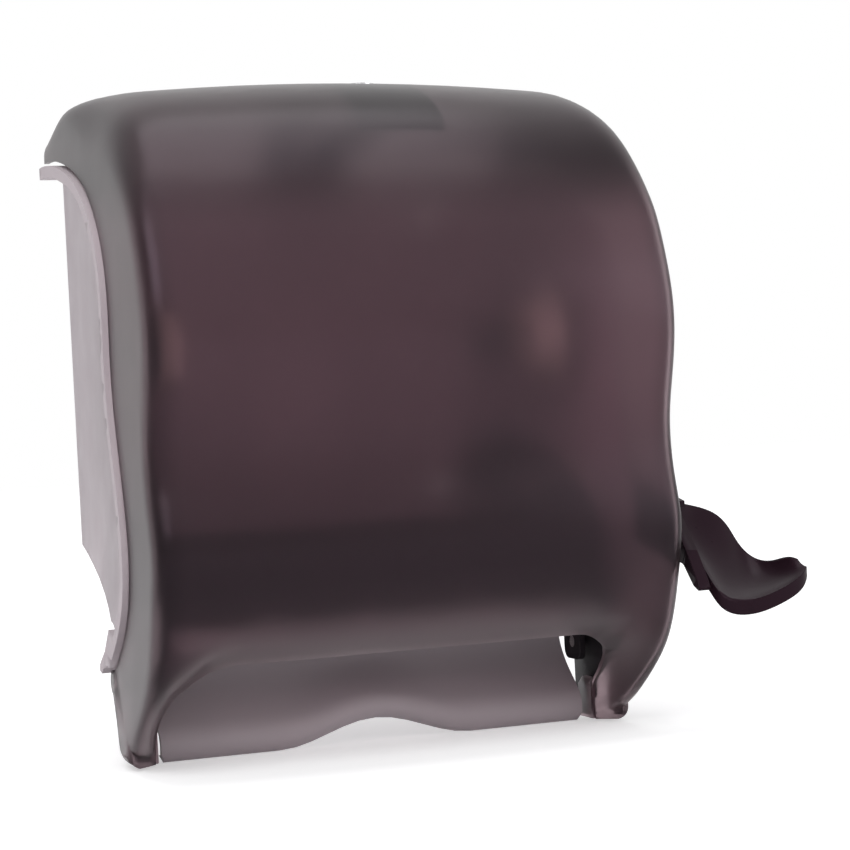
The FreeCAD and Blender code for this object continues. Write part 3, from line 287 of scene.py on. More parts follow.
@dataclass(frozen=True)
class PlasticFinish:
    """Moulded plastic with a fine spark-eroded grain, softened edges, slight mottle and, where given, bands
    of painted shade.
    """

    name: str
    colour: Colour
    mottle: float = 0.05
    roughness: float = 0.5
    roughness_spread: float = 0.05
    grain_size: float = 0.0006
    grain_depth: float = 0.00004
    edge_radius: float = 0.0005
    transmission: float = 0.0
    refraction: float = 1.5
    specular: float = 0.5
    sheen_tint: Colour = (1.0, 1.0, 1.0)
    painted_shade_bands: tuple[PaintedShadeBand, ...] = ()

    def material(self) -> bpy.types.Material:
        """Build the material.

        Returns:
            The node material.
        """
        material = bpy.data.materials.new(self.name)
        material.use_nodes = True
        sheet = NodeSheet(material.node_tree)
        surface = sheet.add("ShaderNodeBsdfPrincipled")
        output = sheet.add("ShaderNodeOutputMaterial")
        surface.inputs["IOR"].default_value = self.refraction
        surface.inputs["Transmission Weight"].default_value = self.transmission
        surface.inputs["Specular IOR Level"].default_value = self.specular
        surface.inputs["Specular Tint"].default_value = (*self.sheen_tint, 1)
        even = Vector((1, 1, 1))
        cloud = sheet.noise(14, 3, even)
        pale, deep = shaded(self.colour, 1 + self.mottle), shaded(self.colour, 1 - self.mottle)
        colour = sheet.tinted(cloud, deep, pale)
        # Each band paints shade into the colour, darker towards one end of an axis.
        for shade_band in self.painted_shade_bands:
            colour = sheet.painted_shade(colour, shade_band)
        sheet.join(colour, surface.inputs["Base Color"])
        polish = sheet.noise(60, 4, even)
        low, high = self.roughness - self.roughness_spread, self.roughness + self.roughness_spread
        sheet.join(sheet.spread(polish, low, high), surface.inputs["Roughness"])
        bump = sheet.add("ShaderNodeBump")
        bump.inputs["Distance"].default_value = self.grain_depth
        grain = sheet.noise(1 / self.grain_size, 2, even)
        sheet.join(grain, bump.inputs["Height"])
        if self.edge_radius:
            edges = sheet.add("ShaderNodeBevel", samples=4)
            edges.inputs["Radius"].default_value = self.edge_radius
            sheet.join(edges.outputs["Normal"], bump.inputs["Normal"])
        sheet.join(bump.outputs["Normal"], surface.inputs["Normal"])
        sheet.join(surface.outputs["BSDF"], output.inputs["Surface"])
        return material


@dataclass(frozen=True)
class MetalFinish:
    """Steel with lines left by drawing or brushing, or a cloudy plating."""

    name: str
    colour: Colour
    grain: Grain
    roughness: float = 0.3
    line_depth: float = 0.00002

    def stretch(self) -> Vector:
        """Scale of the surface lines along each axis."""
        if self.grain is Grain.DRAWN:
            return Vector((0.06, 1, 1))
        if self.grain is Grain.BRUSHED:
            return Vector((0.04, 1, 1))
        return Vector((1, 1, 1))

    def material(self) -> bpy.types.Material:
        """Build the material.

        Returns:
            The node material.
        """
        material = bpy.data.materials.new(self.name)
        material.use_nodes = True
        sheet = NodeSheet(material.node_tree)
        surface = sheet.add("ShaderNodeBsdfPrincipled")
        output = sheet.add("ShaderNodeOutputMaterial")
        surface.inputs["Metallic"].default_value = 1.0
        lines = sheet.noise(2200, 3, self.stretch())
        cloud = sheet.noise(90, 3, Vector((1, 1, 1)))
        colour = sheet.tinted(cloud, shaded(self.colour, 0.9), shaded(self.colour, 1.08))
        sheet.join(colour, surface.inputs["Base Color"])
        worn = sheet.spread(lines, self.roughness - 0.06, self.roughness + 0.1)
        sheet.join(worn, surface.inputs["Roughness"])
        bump = sheet.add("ShaderNodeBump")
        bump.inputs["Distance"].default_value = self.line_depth
        sheet.join(lines, bump.inputs["Height"])
        sheet.join(bump.outputs["Normal"], surface.inputs["Normal"])
        sheet.join(surface.outputs["BSDF"], output.inputs["Surface"])
        return material


FINISHES: dict[Slot, PlasticFinish | MetalFinish] = {
    Slot.COVER: PlasticFinish(
        "frosted_smoke", (0.45, 0.335, 0.365), mottle=0.02, roughness=0.3, roughness_spread=0.01,
        grain_size=0.0009, grain_depth=0.000002, edge_radius=0.0, transmission=0.97, refraction=1.26,
        sheen_tint=(0.85, 0.66, 0.82),
        # Painted shade: the cover's colour is darkened towards its top, at its two sides and towards its
        # foot.
        painted_shade_bands=(
            PaintedShadeBand(Axis.UPWARDS, 0.05, 0.09, 0.26),
            PaintedShadeBand(Axis.SIDEWAYS, 0.112, 0.127, 0.55, both_sides=True),
            PaintedShadeBand(Axis.UPWARDS, -0.01, -0.11, 0.62),
        ),
    ),
    Slot.LEVER: PlasticFinish(
        "aubergine_satin", (0.015, 0.007, 0.011), mottle=0.08, roughness=0.3, roughness_spread=0.03,
        grain_size=0.0007, grain_depth=0.00001, edge_radius=0.0007, specular=0.07,
        sheen_tint=(1.0, 0.75, 0.9),
    ),
    Slot.HOUSING: PlasticFinish(
        "warm_grey_housing", (0.5, 0.435, 0.465), mottle=0.03, roughness=0.5, grain_depth=0.00003,
        specular=0.25,
    ),
    Slot.MECHANISM: PlasticFinish(
        "dark_mechanism", (0.018, 0.015, 0.018), mottle=0.1, roughness=0.48, specular=0.2,
    ),
    Slot.GEAR: PlasticFinish(
        "natural_gear", (0.68, 0.65, 0.58), mottle=0.04, roughness=0.4, edge_radius=0.0002,
    ),
    Slot.RUBBER: PlasticFinish(
        "grip_rubber", (0.022, 0.021, 0.022), mottle=0.2, roughness=0.75, grain_size=0.0004,
        grain_depth=0.00006, edge_radius=0.0003,
    ),
    Slot.SHAFT: MetalFinish("drawn_shaft", (0.56, 0.55, 0.54), Grain.DRAWN, 0.28),
    Slot.SCREW: MetalFinish("zinc_screw", (0.62, 0.62, 0.63), Grain.PLATED, 0.24),
    Slot.SPRING: MetalFinish("spring_wire", (0.45, 0.45, 0.46), Grain.DRAWN, 0.3),
    Slot.BLADE: MetalFinish("stainless_strip", (0.6, 0.6, 0.6), Grain.BRUSHED, 0.26),
}


class Palette:
    """Builds each finish once and hands it out by slot."""

    def __init__(self) -> None:
        """Build every finish."""
        self.materials = {slot: finish.material() for slot, finish in FINISHES.items()}

    def dress(self, piece: bpy.types.Object, slot: Slot) -> None:
        """Give a piece one finish.

        Args:
            piece: Mesh object.
            slot: Which finish.
        """
        slots = piece.data.materials
        for i in range(max(1, len(slots))):
            if i < len(slots):
                slots[i] = self.materials[slot]
            else:
                slots.append(self.materials[slot])


def smooth_by_angle(mesh: bpy.types.Mesh, degrees: float) -> None:
    """Shade a mesh smooth, apart from edges that turn by more than an angle.

    Args:
        mesh: Mesh with merged points.
        degrees: Largest turn that is still smooth.
    """
    mesh.shade_smooth()
    mesh.set_sharp_from_angle(angle=math.radians(degrees))


def merged_copy(node: str, name: str, degrees: float) -> bpy.types.Object:
    """Copy a CAD node with its points merged and its curved faces smooth, and let it stand for the node.

    Args:
        node: CAD node.
        name: Name of the piece.
        degrees: Largest turn that is still smooth.

    Returns:
        The new piece.
    """
    source = frame["nodes"][node]
    mesh = bpy.data.meshes.new(name)
    work = bmesh.new()
    work.from_mesh(source.data)
    bmesh.ops.remove_doubles(work, verts=work.verts, dist=WELD_DISTANCE)
    bmesh.ops.dissolve_degenerate(work, edges=work.edges, dist=SLIVER_LENGTH)
    work.to_mesh(mesh)
    work.free()
    mesh.validate()
    smooth_by_angle(mesh, degrees)
    piece = bpy.data.objects.new(name, mesh)
    bpy.context.scene.collection.objects.link(piece)
    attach(piece, source["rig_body"])
    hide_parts(node)
    return piece


class FormTree:
    """A geometry node tree with named inputs that ends in Realize Instances and Set Material."""

    def __init__(self, name: str, inputs: dict[str, float]) -> None:
        """Start the tree.

        Args:
            name: Name of the tree.
            inputs: Named sizes with their defaults.
        """
        self.tree = bpy.data.node_groups.new(name, "GeometryNodeTree")
        face = self.tree.interface
        face.new_socket("Geometry", in_out="OUTPUT", socket_type="NodeSocketGeometry")
        face.new_socket("Geometry", in_out="INPUT", socket_type="NodeSocketGeometry")
        for label, value in inputs.items():
            face.new_socket(label, in_out="INPUT", socket_type="NodeSocketFloat").default_value = value
        face.new_socket("Finish", in_out="INPUT", socket_type="NodeSocketMaterial")
        self.sheet = NodeSheet(self.tree)
        self.inputs = self.sheet.add("NodeGroupInput")
        self.outputs = self.sheet.add("NodeGroupOutput")

    def size(self, label: str) -> bpy.types.NodeSocket:
        """Output of a named input."""
        return self.inputs.outputs[label]

    def reckon(self, operation: str, first: object, second: object) -> bpy.types.NodeSocket:
        """Add a sum.

        Args:
            operation: Blender's name of it.
            first: Socket or number.
            second: Socket or number.

        Returns:
            The result.
        """
        node = self.sheet.add("ShaderNodeMath", operation=operation)
        for socket, value in zip(node.inputs, (first, second)):
            if isinstance(value, bpy.types.NodeSocket):
                self.sheet.join(value, socket)
            else:
                socket.default_value = value
        return node.outputs[0]

    def vector(self, x: object, y: object, z: object) -> bpy.types.NodeSocket:
        """Combine three sockets or numbers.

        Args:
            x: Along X.
            y: Along Y.
            z: Along Z.

        Returns:
            The vector.
        """
        node = self.sheet.add("ShaderNodeCombineXYZ")
        for socket, value in zip(node.inputs, (x, y, z)):
            if isinstance(value, bpy.types.NodeSocket):
                self.sheet.join(value, socket)
            else:
                socket.default_value = value
        return node.outputs[0]

    def moved(self, geometry: bpy.types.NodeSocket, by: bpy.types.NodeSocket) -> bpy.types.NodeSocket:
        """Move geometry.

        Args:
            geometry: What is moved.
            by: Vector.

        Returns:
            The moved geometry.
        """
        node = self.sheet.add("GeometryNodeTransform")
        self.sheet.join(geometry, node.inputs["Geometry"])
        self.sheet.join(by, node.inputs["Translation"])
        return node.outputs["Geometry"]

    def cylinder(self, radius: object, depth: object, sides: int) -> bpy.types.NodeSocket:
        """Add a cylinder about the origin.

        Args:
            radius: Socket or number.
            depth: Socket or number.
            sides: Count of sides.

        Returns:
            The mesh.
        """
        node = self.sheet.add("GeometryNodeMeshCylinder")
        node.inputs["Vertices"].default_value = sides
        for label, value in (("Radius", radius), ("Depth", depth)):
            if isinstance(value, bpy.types.NodeSocket):
                self.sheet.join(value, node.inputs[label])
            else:
                node.inputs[label].default_value = value
        return node.outputs["Mesh"]

    def joined(self, *parts: bpy.types.NodeSocket) -> bpy.types.NodeSocket:
        """Join geometries."""
        node = self.sheet.add("GeometryNodeJoinGeometry")
        for part in parts:
            self.sheet.join(part, node.inputs["Geometry"])
        return node.outputs["Geometry"]

    def carved(self, body: bpy.types.NodeSocket, *cutters: bpy.types.NodeSocket) -> bpy.types.NodeSocket:
        """Cut shapes out of a closed body.

        Args:
            body: Closed mesh.
            *cutters: Closed meshes that are taken away.

        Returns:
            What is left.
        """
        node = self.sheet.add("GeometryNodeMeshBoolean", operation="DIFFERENCE", solver="EXACT")
        self.sheet.join(body, node.inputs["Mesh 1"])
        for cutter in cutters:
            self.sheet.join(cutter, node.inputs["Mesh 2"])
        return node.outputs["Mesh"]

    def close(self, geometry: bpy.types.NodeSocket) -> None:
        """End the tree.

        Args:
            geometry: What the tree makes.
        """
        realized = self.sheet.add("GeometryNodeRealizeInstances")
        finish = self.sheet.add("GeometryNodeSetMaterial")
        self.sheet.join(geometry, realized.inputs["Geometry"])
        self.sheet.join(realized.outputs["Geometry"], finish.inputs["Geometry"])
        self.sheet.join(self.inputs.outputs["Finish"], finish.inputs["Material"])
        self.sheet.join(finish.outputs["Geometry"], self.outputs.inputs["Geometry"])

    def make(
        self, name: str, points: list[Vector], material: bpy.types.Material,
        sizes: dict[str, float], axes: list[Vector] | None = None, chain: bool = False,
    ) -> bpy.types.Object:
        """Run the tree on a set of points and keep the result as a plain mesh.

        Args:
            name: Name of the piece.
            points: Points that the tree starts from.
            material: Finish.
            sizes: Values of the named inputs.
            axes: Direction at each point.
            chain: Whether edges join the points in a row.

        Returns:
            The finished piece, at the origin.
        """
        seed = bpy.data.meshes.new(name + "_points")
        edges = [(i, i + 1) for i in range(len(points) - 1)] if chain else []
        seed.from_pydata([tuple(point) for point in points], edges, [])
        if axes:
            attribute = seed.attributes.new("axis", "FLOAT_VECTOR", "POINT")
            attribute.data.foreach_set("vector", [value for axis in axes for value in axis])
        carrier = bpy.data.objects.new(name + "_points", seed)
        bpy.context.scene.collection.objects.link(carrier)
        modifier = carrier.modifiers.new("form", "NODES")
        modifier.node_group = self.tree
        for item in self.tree.interface.items_tree:
            if item.in_out != "INPUT" or item.name == "Geometry":
                continue
            modifier[item.identifier] = material if item.name == "Finish" else float(sizes[item.name])
        bpy.context.view_layer.update()
        evaluated = carrier.evaluated_get(bpy.context.evaluated_depsgraph_get())
        mesh = bpy.data.meshes.new_from_object(evaluated)
        mesh.name = name
        bpy.data.objects.remove(carrier)
        piece = bpy.data.objects.new(name, mesh)
        bpy.context.scene.collection.objects.link(piece)
        return piece


class ScrewTree(FormTree):
    """Pan head screws with a cross recess, one on each point along its axis."""

    head_segments: ClassVar[int] = 28
    head_rings: ClassVar[int] = 14
    shank_sides: ClassVar[int] = 16

    def __init__(self) -> None:
        """Build the tree."""
        super().__init__("pan_head_screws", {
            "Head radius": 0.003, "Head height": 0.002, "Shank radius": 0.0015,
            "Shank length": 0.005, "Recess width": 0.0008,
        })
        sheet = self.sheet
        dome = sheet.add("GeometryNodeMeshUVSphere")
        dome.inputs["Segments"].default_value = self.head_segments
        dome.inputs["Rings"].default_value = self.head_rings
        dome.inputs["Radius"].default_value = 1.0
        flat = sheet.add("GeometryNodeTransform")
        sheet.join(dome.outputs["Mesh"], flat.inputs["Geometry"])
        scale = self.vector(self.size("Head radius"), self.size("Head radius"), self.size("Head height"))
        sheet.join(scale, flat.inputs["Scale"])
        below = sheet.add("GeometryNodeMeshCube")
        below.inputs["Size"].default_value = (0.02, 0.02, 0.02)
        lower_half = self.moved(below.outputs["Mesh"], self.vector(0.0, 0.0, -0.01))
        arms = []
        long = self.reckon("MULTIPLY", self.size("Head radius"), 1.1)
        deep = self.reckon("MULTIPLY", self.size("Head height"), 1.2)
        for size in (
            self.vector(long, self.size("Recess width"), deep),
            self.vector(self.size("Recess width"), long, deep),
        ):
            arm = sheet.add("GeometryNodeMeshCube")
            sheet.join(size, arm.inputs["Size"])
            arms.append(self.moved(arm.outputs["Mesh"], self.vector(0.0, 0.0, self.size("Head height"))))
        head = self.carved(flat.outputs["Geometry"], lower_half, *arms)
        half = self.reckon("MULTIPLY", self.size("Shank length"), -0.5)
        shank = self.moved(
            self.cylinder(self.size("Shank radius"), self.size("Shank length"), self.shank_sides),
            self.vector(0.0, 0.0, half),
        )
        along = sheet.add("GeometryNodeInputNamedAttribute", data_type="FLOAT_VECTOR")
        along.inputs["Name"].default_value = "axis"
        turn = sheet.add("FunctionNodeAlignRotationToVector", axis="Z")
        sheet.join(along.outputs["Attribute"], turn.inputs["Vector"])
        copies = sheet.add("GeometryNodeInstanceOnPoints")
        sheet.join(self.inputs.outputs["Geometry"], copies.inputs["Points"])
        sheet.join(self.joined(head, shank), copies.inputs["Instance"])
        sheet.join(turn.outputs["Rotation"], copies.inputs["Rotation"])
        self.close(copies.outputs["Instances"])


class GripTree(FormTree):
    """Rubber rings with fine ribs along them, one on each point, about the X axis."""

    ring_sides: ClassVar[int] = 72
    rib_sides: ClassVar[int] = 8

    def __init__(self) -> None:
        """Build the tree."""
        super().__init__("ribbed_grips", {
            "Outer radius": 0.014, "Inner radius": 0.0125, "Width": 0.03, "Rib height": 0.0007,
            "Rib count": 60.0,
        })
        sheet = self.sheet
        root = self.reckon("SUBTRACT", self.size("Outer radius"), self.size("Rib height"))
        longer = self.reckon("MULTIPLY", self.size("Width"), 1.2)
        tube = self.carved(
            self.cylinder(root, self.size("Width"), self.ring_sides),
            self.cylinder(self.size("Inner radius"), longer, self.ring_sides),
        )
        ring = sheet.add("GeometryNodeMeshCircle")
        sheet.join(self.size("Rib count"), ring.inputs["Vertices"])
        sheet.join(root, ring.inputs["Radius"])
        place_of = sheet.add("GeometryNodeInputPosition")
        turn = sheet.add("FunctionNodeAlignRotationToVector", axis="X")
        sheet.join(place_of.outputs["Position"], turn.inputs["Vector"])
        rib = self.cylinder(self.size("Rib height"), self.size("Width"), self.rib_sides)
        ribs = sheet.add("GeometryNodeInstanceOnPoints")
        sheet.join(ring.outputs["Mesh"], ribs.inputs["Points"])
        sheet.join(rib, ribs.inputs["Instance"])
        sheet.join(turn.outputs["Rotation"], ribs.inputs["Rotation"])
        whole = sheet.add("GeometryNodeTransform")
        sheet.join(self.joined(tube, ribs.outputs["Instances"]), whole.inputs["Geometry"])
        whole.inputs["Rotation"].default_value = (0, math.pi / 2, 0)
        copies = sheet.add("GeometryNodeInstanceOnPoints")
        sheet.join(self.inputs.outputs["Geometry"], copies.inputs["Points"])
        sheet.join(whole.outputs["Geometry"], copies.inputs["Instance"])
        self.close(copies.outputs["Instances"])


class WireTree(FormTree):
    """Round wire along a chain of points."""

    wire_sides: ClassVar[int] = 14

    def __init__(self) -> None:
        """Build the tree."""
        super().__init__("spring_wires", {"Wire radius": 0.0008})
        sheet = self.sheet
        line = sheet.add("GeometryNodeMeshToCurve")
        sheet.join(self.inputs.outputs["Geometry"], line.inputs["Mesh"])
        ring = sheet.add("GeometryNodeCurvePrimitiveCircle")
        ring.inputs["Resolution"].default_value = self.wire_sides
        sheet.join(self.size("Wire radius"), ring.inputs["Radius"])
        wire = sheet.add("GeometryNodeCurveToMesh")
        wire.inputs["Fill Caps"].default_value = True
        sheet.join(line.outputs["Curve"], wire.inputs["Curve"])
        sheet.join(ring.outputs["Curve"], wire.inputs["Profile Curve"])
        self.close(wire.outputs["Mesh"])


@dataclass
class SubAssembly:
    """A group of pieces that is built and dressed together."""

    palette: Palette
    plain: ClassVar[dict[Slot, tuple[str, ...]]] = {}
    merged: ClassVar[dict[str, tuple[str, Slot, float]]] = {}

    def build(self) -> None:
        """Copy the curved nodes with smooth faces and dress them."""
        for node, (name, slot, degrees) in self.merged.items():
            piece = merged_copy(node, name, degrees)
            self.palette.dress(piece, slot)
            log.info("%s stands for %s", name, node)

    def dress(self) -> None:
        """Give the kept CAD nodes their finishes."""
        for slot, names in self.plain.items():
            for name in names:
                self.palette.dress(frame["nodes"][name], slot)
                log.info("%s is dressed as %s", name, slot.value)

    def keep(self, piece: bpy.types.Object, body: str, slot: Slot, *nodes: str) -> None:
        """Let a finished piece ride on a body and stand for nodes.

        Args:
            piece: Finished mesh at the origin.
            body: CAD body.
            slot: Its finish; not used.
            *nodes: CAD nodes that it stands for.
        """
        smooth_by_angle(piece.data, PIECE_ANGLE)
        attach(piece, body)
        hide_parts(*nodes)
        log.info("%s stands for %s", piece.name, ", ".join(nodes))


@dataclass
class Casing(SubAssembly):
    """Back housing with its chute, side frames and their small parts."""

    screw_head: float = 0.003
    screw_height: float = 0.0019
    screw_shank: float = 0.0015
    recess_width: float = 0.0008
    frame_x: float = 103.0
    frame_seat: float = 6.0
    frame_heights: tuple[float, float] = (116.0, 140.0)
    frame_length: float = 0.005
    strike_x: tuple[float, float] = (1.0, 19.0)
    strike_seat: Section = (5.8, 292.0)
    strike_length: float = 0.0048
    blade_x: float = 113.0
    blade_seat: Section = (136.0, 61.0)
    blade_length: float = 0.0065
    merged = {
        "back_housing": ("housing_shell", Slot.HOUSING, 30),
        "exit_chute": ("chute_panel", Slot.HOUSING, 30),
    }
    plain = {
        Slot.MECHANISM: ("left_side_frame", "right_side_frame"),
        Slot.GEAR: ("roller_bushes", "lever_bushes"),
        Slot.SHAFT: ("cover_hinge_pins", "idler_pin", "pinch_frame_pins", "roll_arm_pins"),
        Slot.BLADE: ("tear_bar",),
        Slot.SCREW: ("lock_strike",),
    }

    def build(self) -> None:
        """Build the shells and the screws."""
        super().build()
        tree = ScrewTree()
        steel = self.palette.materials[Slot.SCREW]
        forward = Vector((0, -1, 0))
        sides = (-self.frame_x, self.frame_x)
        frames = [place(x, self.frame_seat, z) for x in sides for z in self.frame_heights]
        strike = [place(x, *self.strike_seat) for x in self.strike_x]
        blade = [place(x, *self.blade_seat) for x in (-self.blade_x, self.blade_x)]
        sideways = [Vector((-1, 0, 0)), Vector((1, 0, 0))]
        rows = (
            ("frame_screw_heads", frames, [forward] * 4, self.frame_length, "frame_screws"),
            ("strike_screw_heads", strike, [forward] * 2, self.strike_length, "strike_screws"),
            ("tear_bar_screw_heads", blade, sideways, self.blade_length, "tear_bar_screws"),
        )
        for name, points, axes, length, node in rows:
            sizes = {
                "Head radius": self.screw_head, "Head height": self.screw_height,
                "Shank radius": self.screw_shank, "Shank length": length, "Recess width": self.recess_width,
            }
            piece = tree.make(name, points, steel, sizes, axes)
            self.keep(piece, "casing", Slot.SCREW, node)


def side_plate(name: str, near: float, far: float, outline: list[Section], edge: float) -> bpy.types.Object:
    """Make a flat plate across X with softened edges.

    Args:
        name: Name of the piece.
        near: Side position of one face.
        far: Side position of the other face.
        outline: Corners as section points, in order.
        edge: Width of the softened edge, in metres.

    Returns:
        The plate.
    """
    work = bmesh.new()
    corners = [work.verts.new(place(near, *point)) for point in outline]
    base = work.faces.new(corners)
    lifted = bmesh.ops.extrude_face_region(work, geom=[base])["geom"]
    shift = place(far, 0, 0) - place(near, 0, 0)
    moved = [item for item in lifted if isinstance(item, bmesh.types.BMVert)]
    bmesh.ops.translate(work, verts=moved, vec=shift)
    bmesh.ops.bevel(work, geom=work.edges[:], offset=edge, segments=2, affect="EDGES", profile=0.5)
    bmesh.ops.recalc_face_normals(work, faces=work.faces)
    mesh = bpy.data.meshes.new(name)
    work.to_mesh(mesh)
    work.free()
    piece = bpy.data.objects.new(name, mesh)
    bpy.context.scene.collection.objects.link(piece)
    return piece


@dataclass
class Cover(SubAssembly):
    """Frosted cover with its lock and the return walls inside its legs."""

    return_wall: tuple[Section, ...] = (
        (104, 1.5), (120.5, 1.5), (120.5, 20), (123.5, 22.5), (110, 22.5), (104, 18),
    )
    return_sides: tuple[float, float] = (112.4, 114.6)
    liner: tuple[Section, ...] = ((94, 3), (116.5, 3), (117, 20), (121, 24), (158, 47), (94, 47))
    liner_sides: tuple[float, float] = (115.4, 117.1)
    wall_edge: float = 0.0004
    merged = {
        "front_cover": ("cover_shell", Slot.COVER, 28),
        "lock_housing": ("lock_pad", Slot.MECHANISM, 30),
    }
    plain = {
        Slot.SCREW: ("lock_barrel",),
        Slot.SHAFT: ("lock_cam",),
    }

    def build(self) -> None:
        """Build the shells and the walls inside the legs."""
        super().build()
        rows = (
            ("return_wall", self.return_sides, self.return_wall, Slot.COVER),
            ("hinge_liner", self.liner_sides, self.liner, Slot.MECHANISM),
        )
        for label, sides, outline, slot in rows:
            for side, sign in (("left", -1), ("right", 1)):
                near, far = (sign * x for x in sides)
                piece = side_plate(f"{side}_{label}", near, far, list(outline), self.wall_edge)
                self.palette.dress(piece, slot)
                smooth_by_angle(piece.data, PIECE_ANGLE)
                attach(piece, "cover")
                log.info("%s rides on the cover", piece.name)


@dataclass
class LeverDrive(SubAssembly):
    """Lever, shaft, sector, idler and return spring."""

    axis: Section = (67.5568, 119.0342)
    shaft_radius: float = 4.0
    wire_radius: float = 0.8
    coil_gap: float = 0.6
    coil_start: float = 104.3
    turns: int = 2
    pitch: float = 1.7
    start_angle: float = 200.0
    legs: tuple[float, float] = (6.0, 17.0)
    merged = {"lever": ("lever_arm", Slot.LEVER, 32)}
    plain = {
        Slot.SCREW: ("lever_screw",),
        Slot.SHAFT: ("lever_shaft",),
        Slot.GEAR: ("sector_gear", "idler_gear"),
    }

    def build(self) -> None:
        """Build the lever's shell and the spring."""
        super().build()
        radius = self.shaft_radius + self.wire_radius + self.coil_gap
        path = coil_path(
            self.axis, radius, self.turns, self.pitch, self.coil_start, self.start_angle, self.legs
        )
        steel = self.palette.materials[Slot.SPRING]
        spring = WireTree().make(
            "lever_spring_wire", path, steel, {"Wire radius": self.wire_radius * MILLIMETRE}, chain=True
        )
        self.keep(spring, "lever", Slot.SPRING, "lever_return_spring")


def coil_path(
    axis: Section, radius: float, turns: int, pitch: float, start: float, angle: float,
    legs: tuple[float, float],
) -> list[Vector]:
    """Centre line of a torsion spring along X with two straight legs.

    Args:
        axis: Section point of the spring's axis.
        radius: Mean radius.
        turns: Whole turns.
        pitch: Advance of one turn along X.
        start: Side position where the coil starts.
        angle: Angle where it starts, from forward towards up.
        legs: Lengths of the first and the last leg.

    Returns:
        Points of the centre line.
    """
    steps = COIL_STEPS * turns
    points = []
    first = stepped(stepped(axis, radius, angle), -legs[0], angle + 90)
    points.append(place(start, *first))
    for i in range(steps + 1):
        turned = angle + 360 * turns * i / steps
        points.append(place(start + pitch * turns * i / steps, *stepped(axis, radius, turned)))
    end = stepped(stepped(axis, radius, angle), legs[1], angle + 90)
    points.append(place(start + pitch * turns, *end))
    return points


@dataclass
class FeedRoller(SubAssembly):
    """Feed roller with its ribbed rubber rings, shaft, clips, clutch and pinion."""

    axis: Section = (112.0, 78.0)
    ring_count: int = 4
    ring_pitch: float = 52.0
    ring_sizes: ClassVar[dict[str, float]] = {
        "Outer radius": 0.014, "Inner radius": 0.0125, "Width": 0.03, "Rib height": 0.0006, "Rib count": 56,
    }
    merged = {"feed_roller": ("feed_drum", Slot.MECHANISM, 30)}
    plain = {
        Slot.SHAFT: ("feed_roller_shaft", "one_way_clutch"),
        Slot.SPRING: ("shaft_clips",),
        Slot.GEAR: ("drive_pinion",),
    }

    def build(self) -> None:
        """Build the drum and the rings."""
        super().build()
        middle = (self.ring_count - 1) / 2
        centres = [place(self.ring_pitch * (i - middle), *self.axis) for i in range(self.ring_count)]
        rubber = self.palette.materials[Slot.RUBBER]
        piece = GripTree().make("grip_rings", centres, rubber, self.ring_sizes)
        self.keep(piece, "feed_roller", Slot.RUBBER, "feed_roller_grips")


@dataclass
class PressureFrame(SubAssembly):
    """Sprung guide with its roller and springs."""

    merged = {
        "pinch_frame": ("pressure_guide", Slot.MECHANISM, 30),
        "pinch_roller": ("pressure_sleeve", Slot.MECHANISM, 30),
    }
    plain = {
        Slot.SHAFT: ("pinch_roller_shaft",),
        Slot.SPRING: ("pinch_springs",),
    }


@dataclass
class RollHolder(SubAssembly):
    """Roll arms with their core plugs."""

    merged = {
        "left_roll_arm": ("left_arm_shell", Slot.MECHANISM, 30),
        "right_roll_arm": ("right_arm_shell", Slot.MECHANISM, 30),
        "left_core_plug": ("left_plug_shell", Slot.GEAR, 30),
        "right_core_plug": ("right_plug_shell", Slot.GEAR, 30),
    }


@dataclass(frozen=True)
class Lamp:
    """A square soft light that points at the object."""

    name: str
    seat: Vector
    side: float
    power: float
    colour: Colour = (1, 1, 1)

    def add(self, target: Vector) -> None:
        """Hang the lamp.

        Args:
            target: What it points at.
        """
        light = bpy.data.lights.new(self.name, "AREA")
        light.shape = "SQUARE"
        light.size = self.side
        light.energy = self.power
        light.color = self.colour
        lamp = bpy.data.objects.new(self.name, light)
        lamp.location = self.seat
        lamp.rotation_euler = (target - self.seat).to_track_quat("-Z", "Y").to_euler()
        bpy.context.scene.collection.objects.link(lamp)


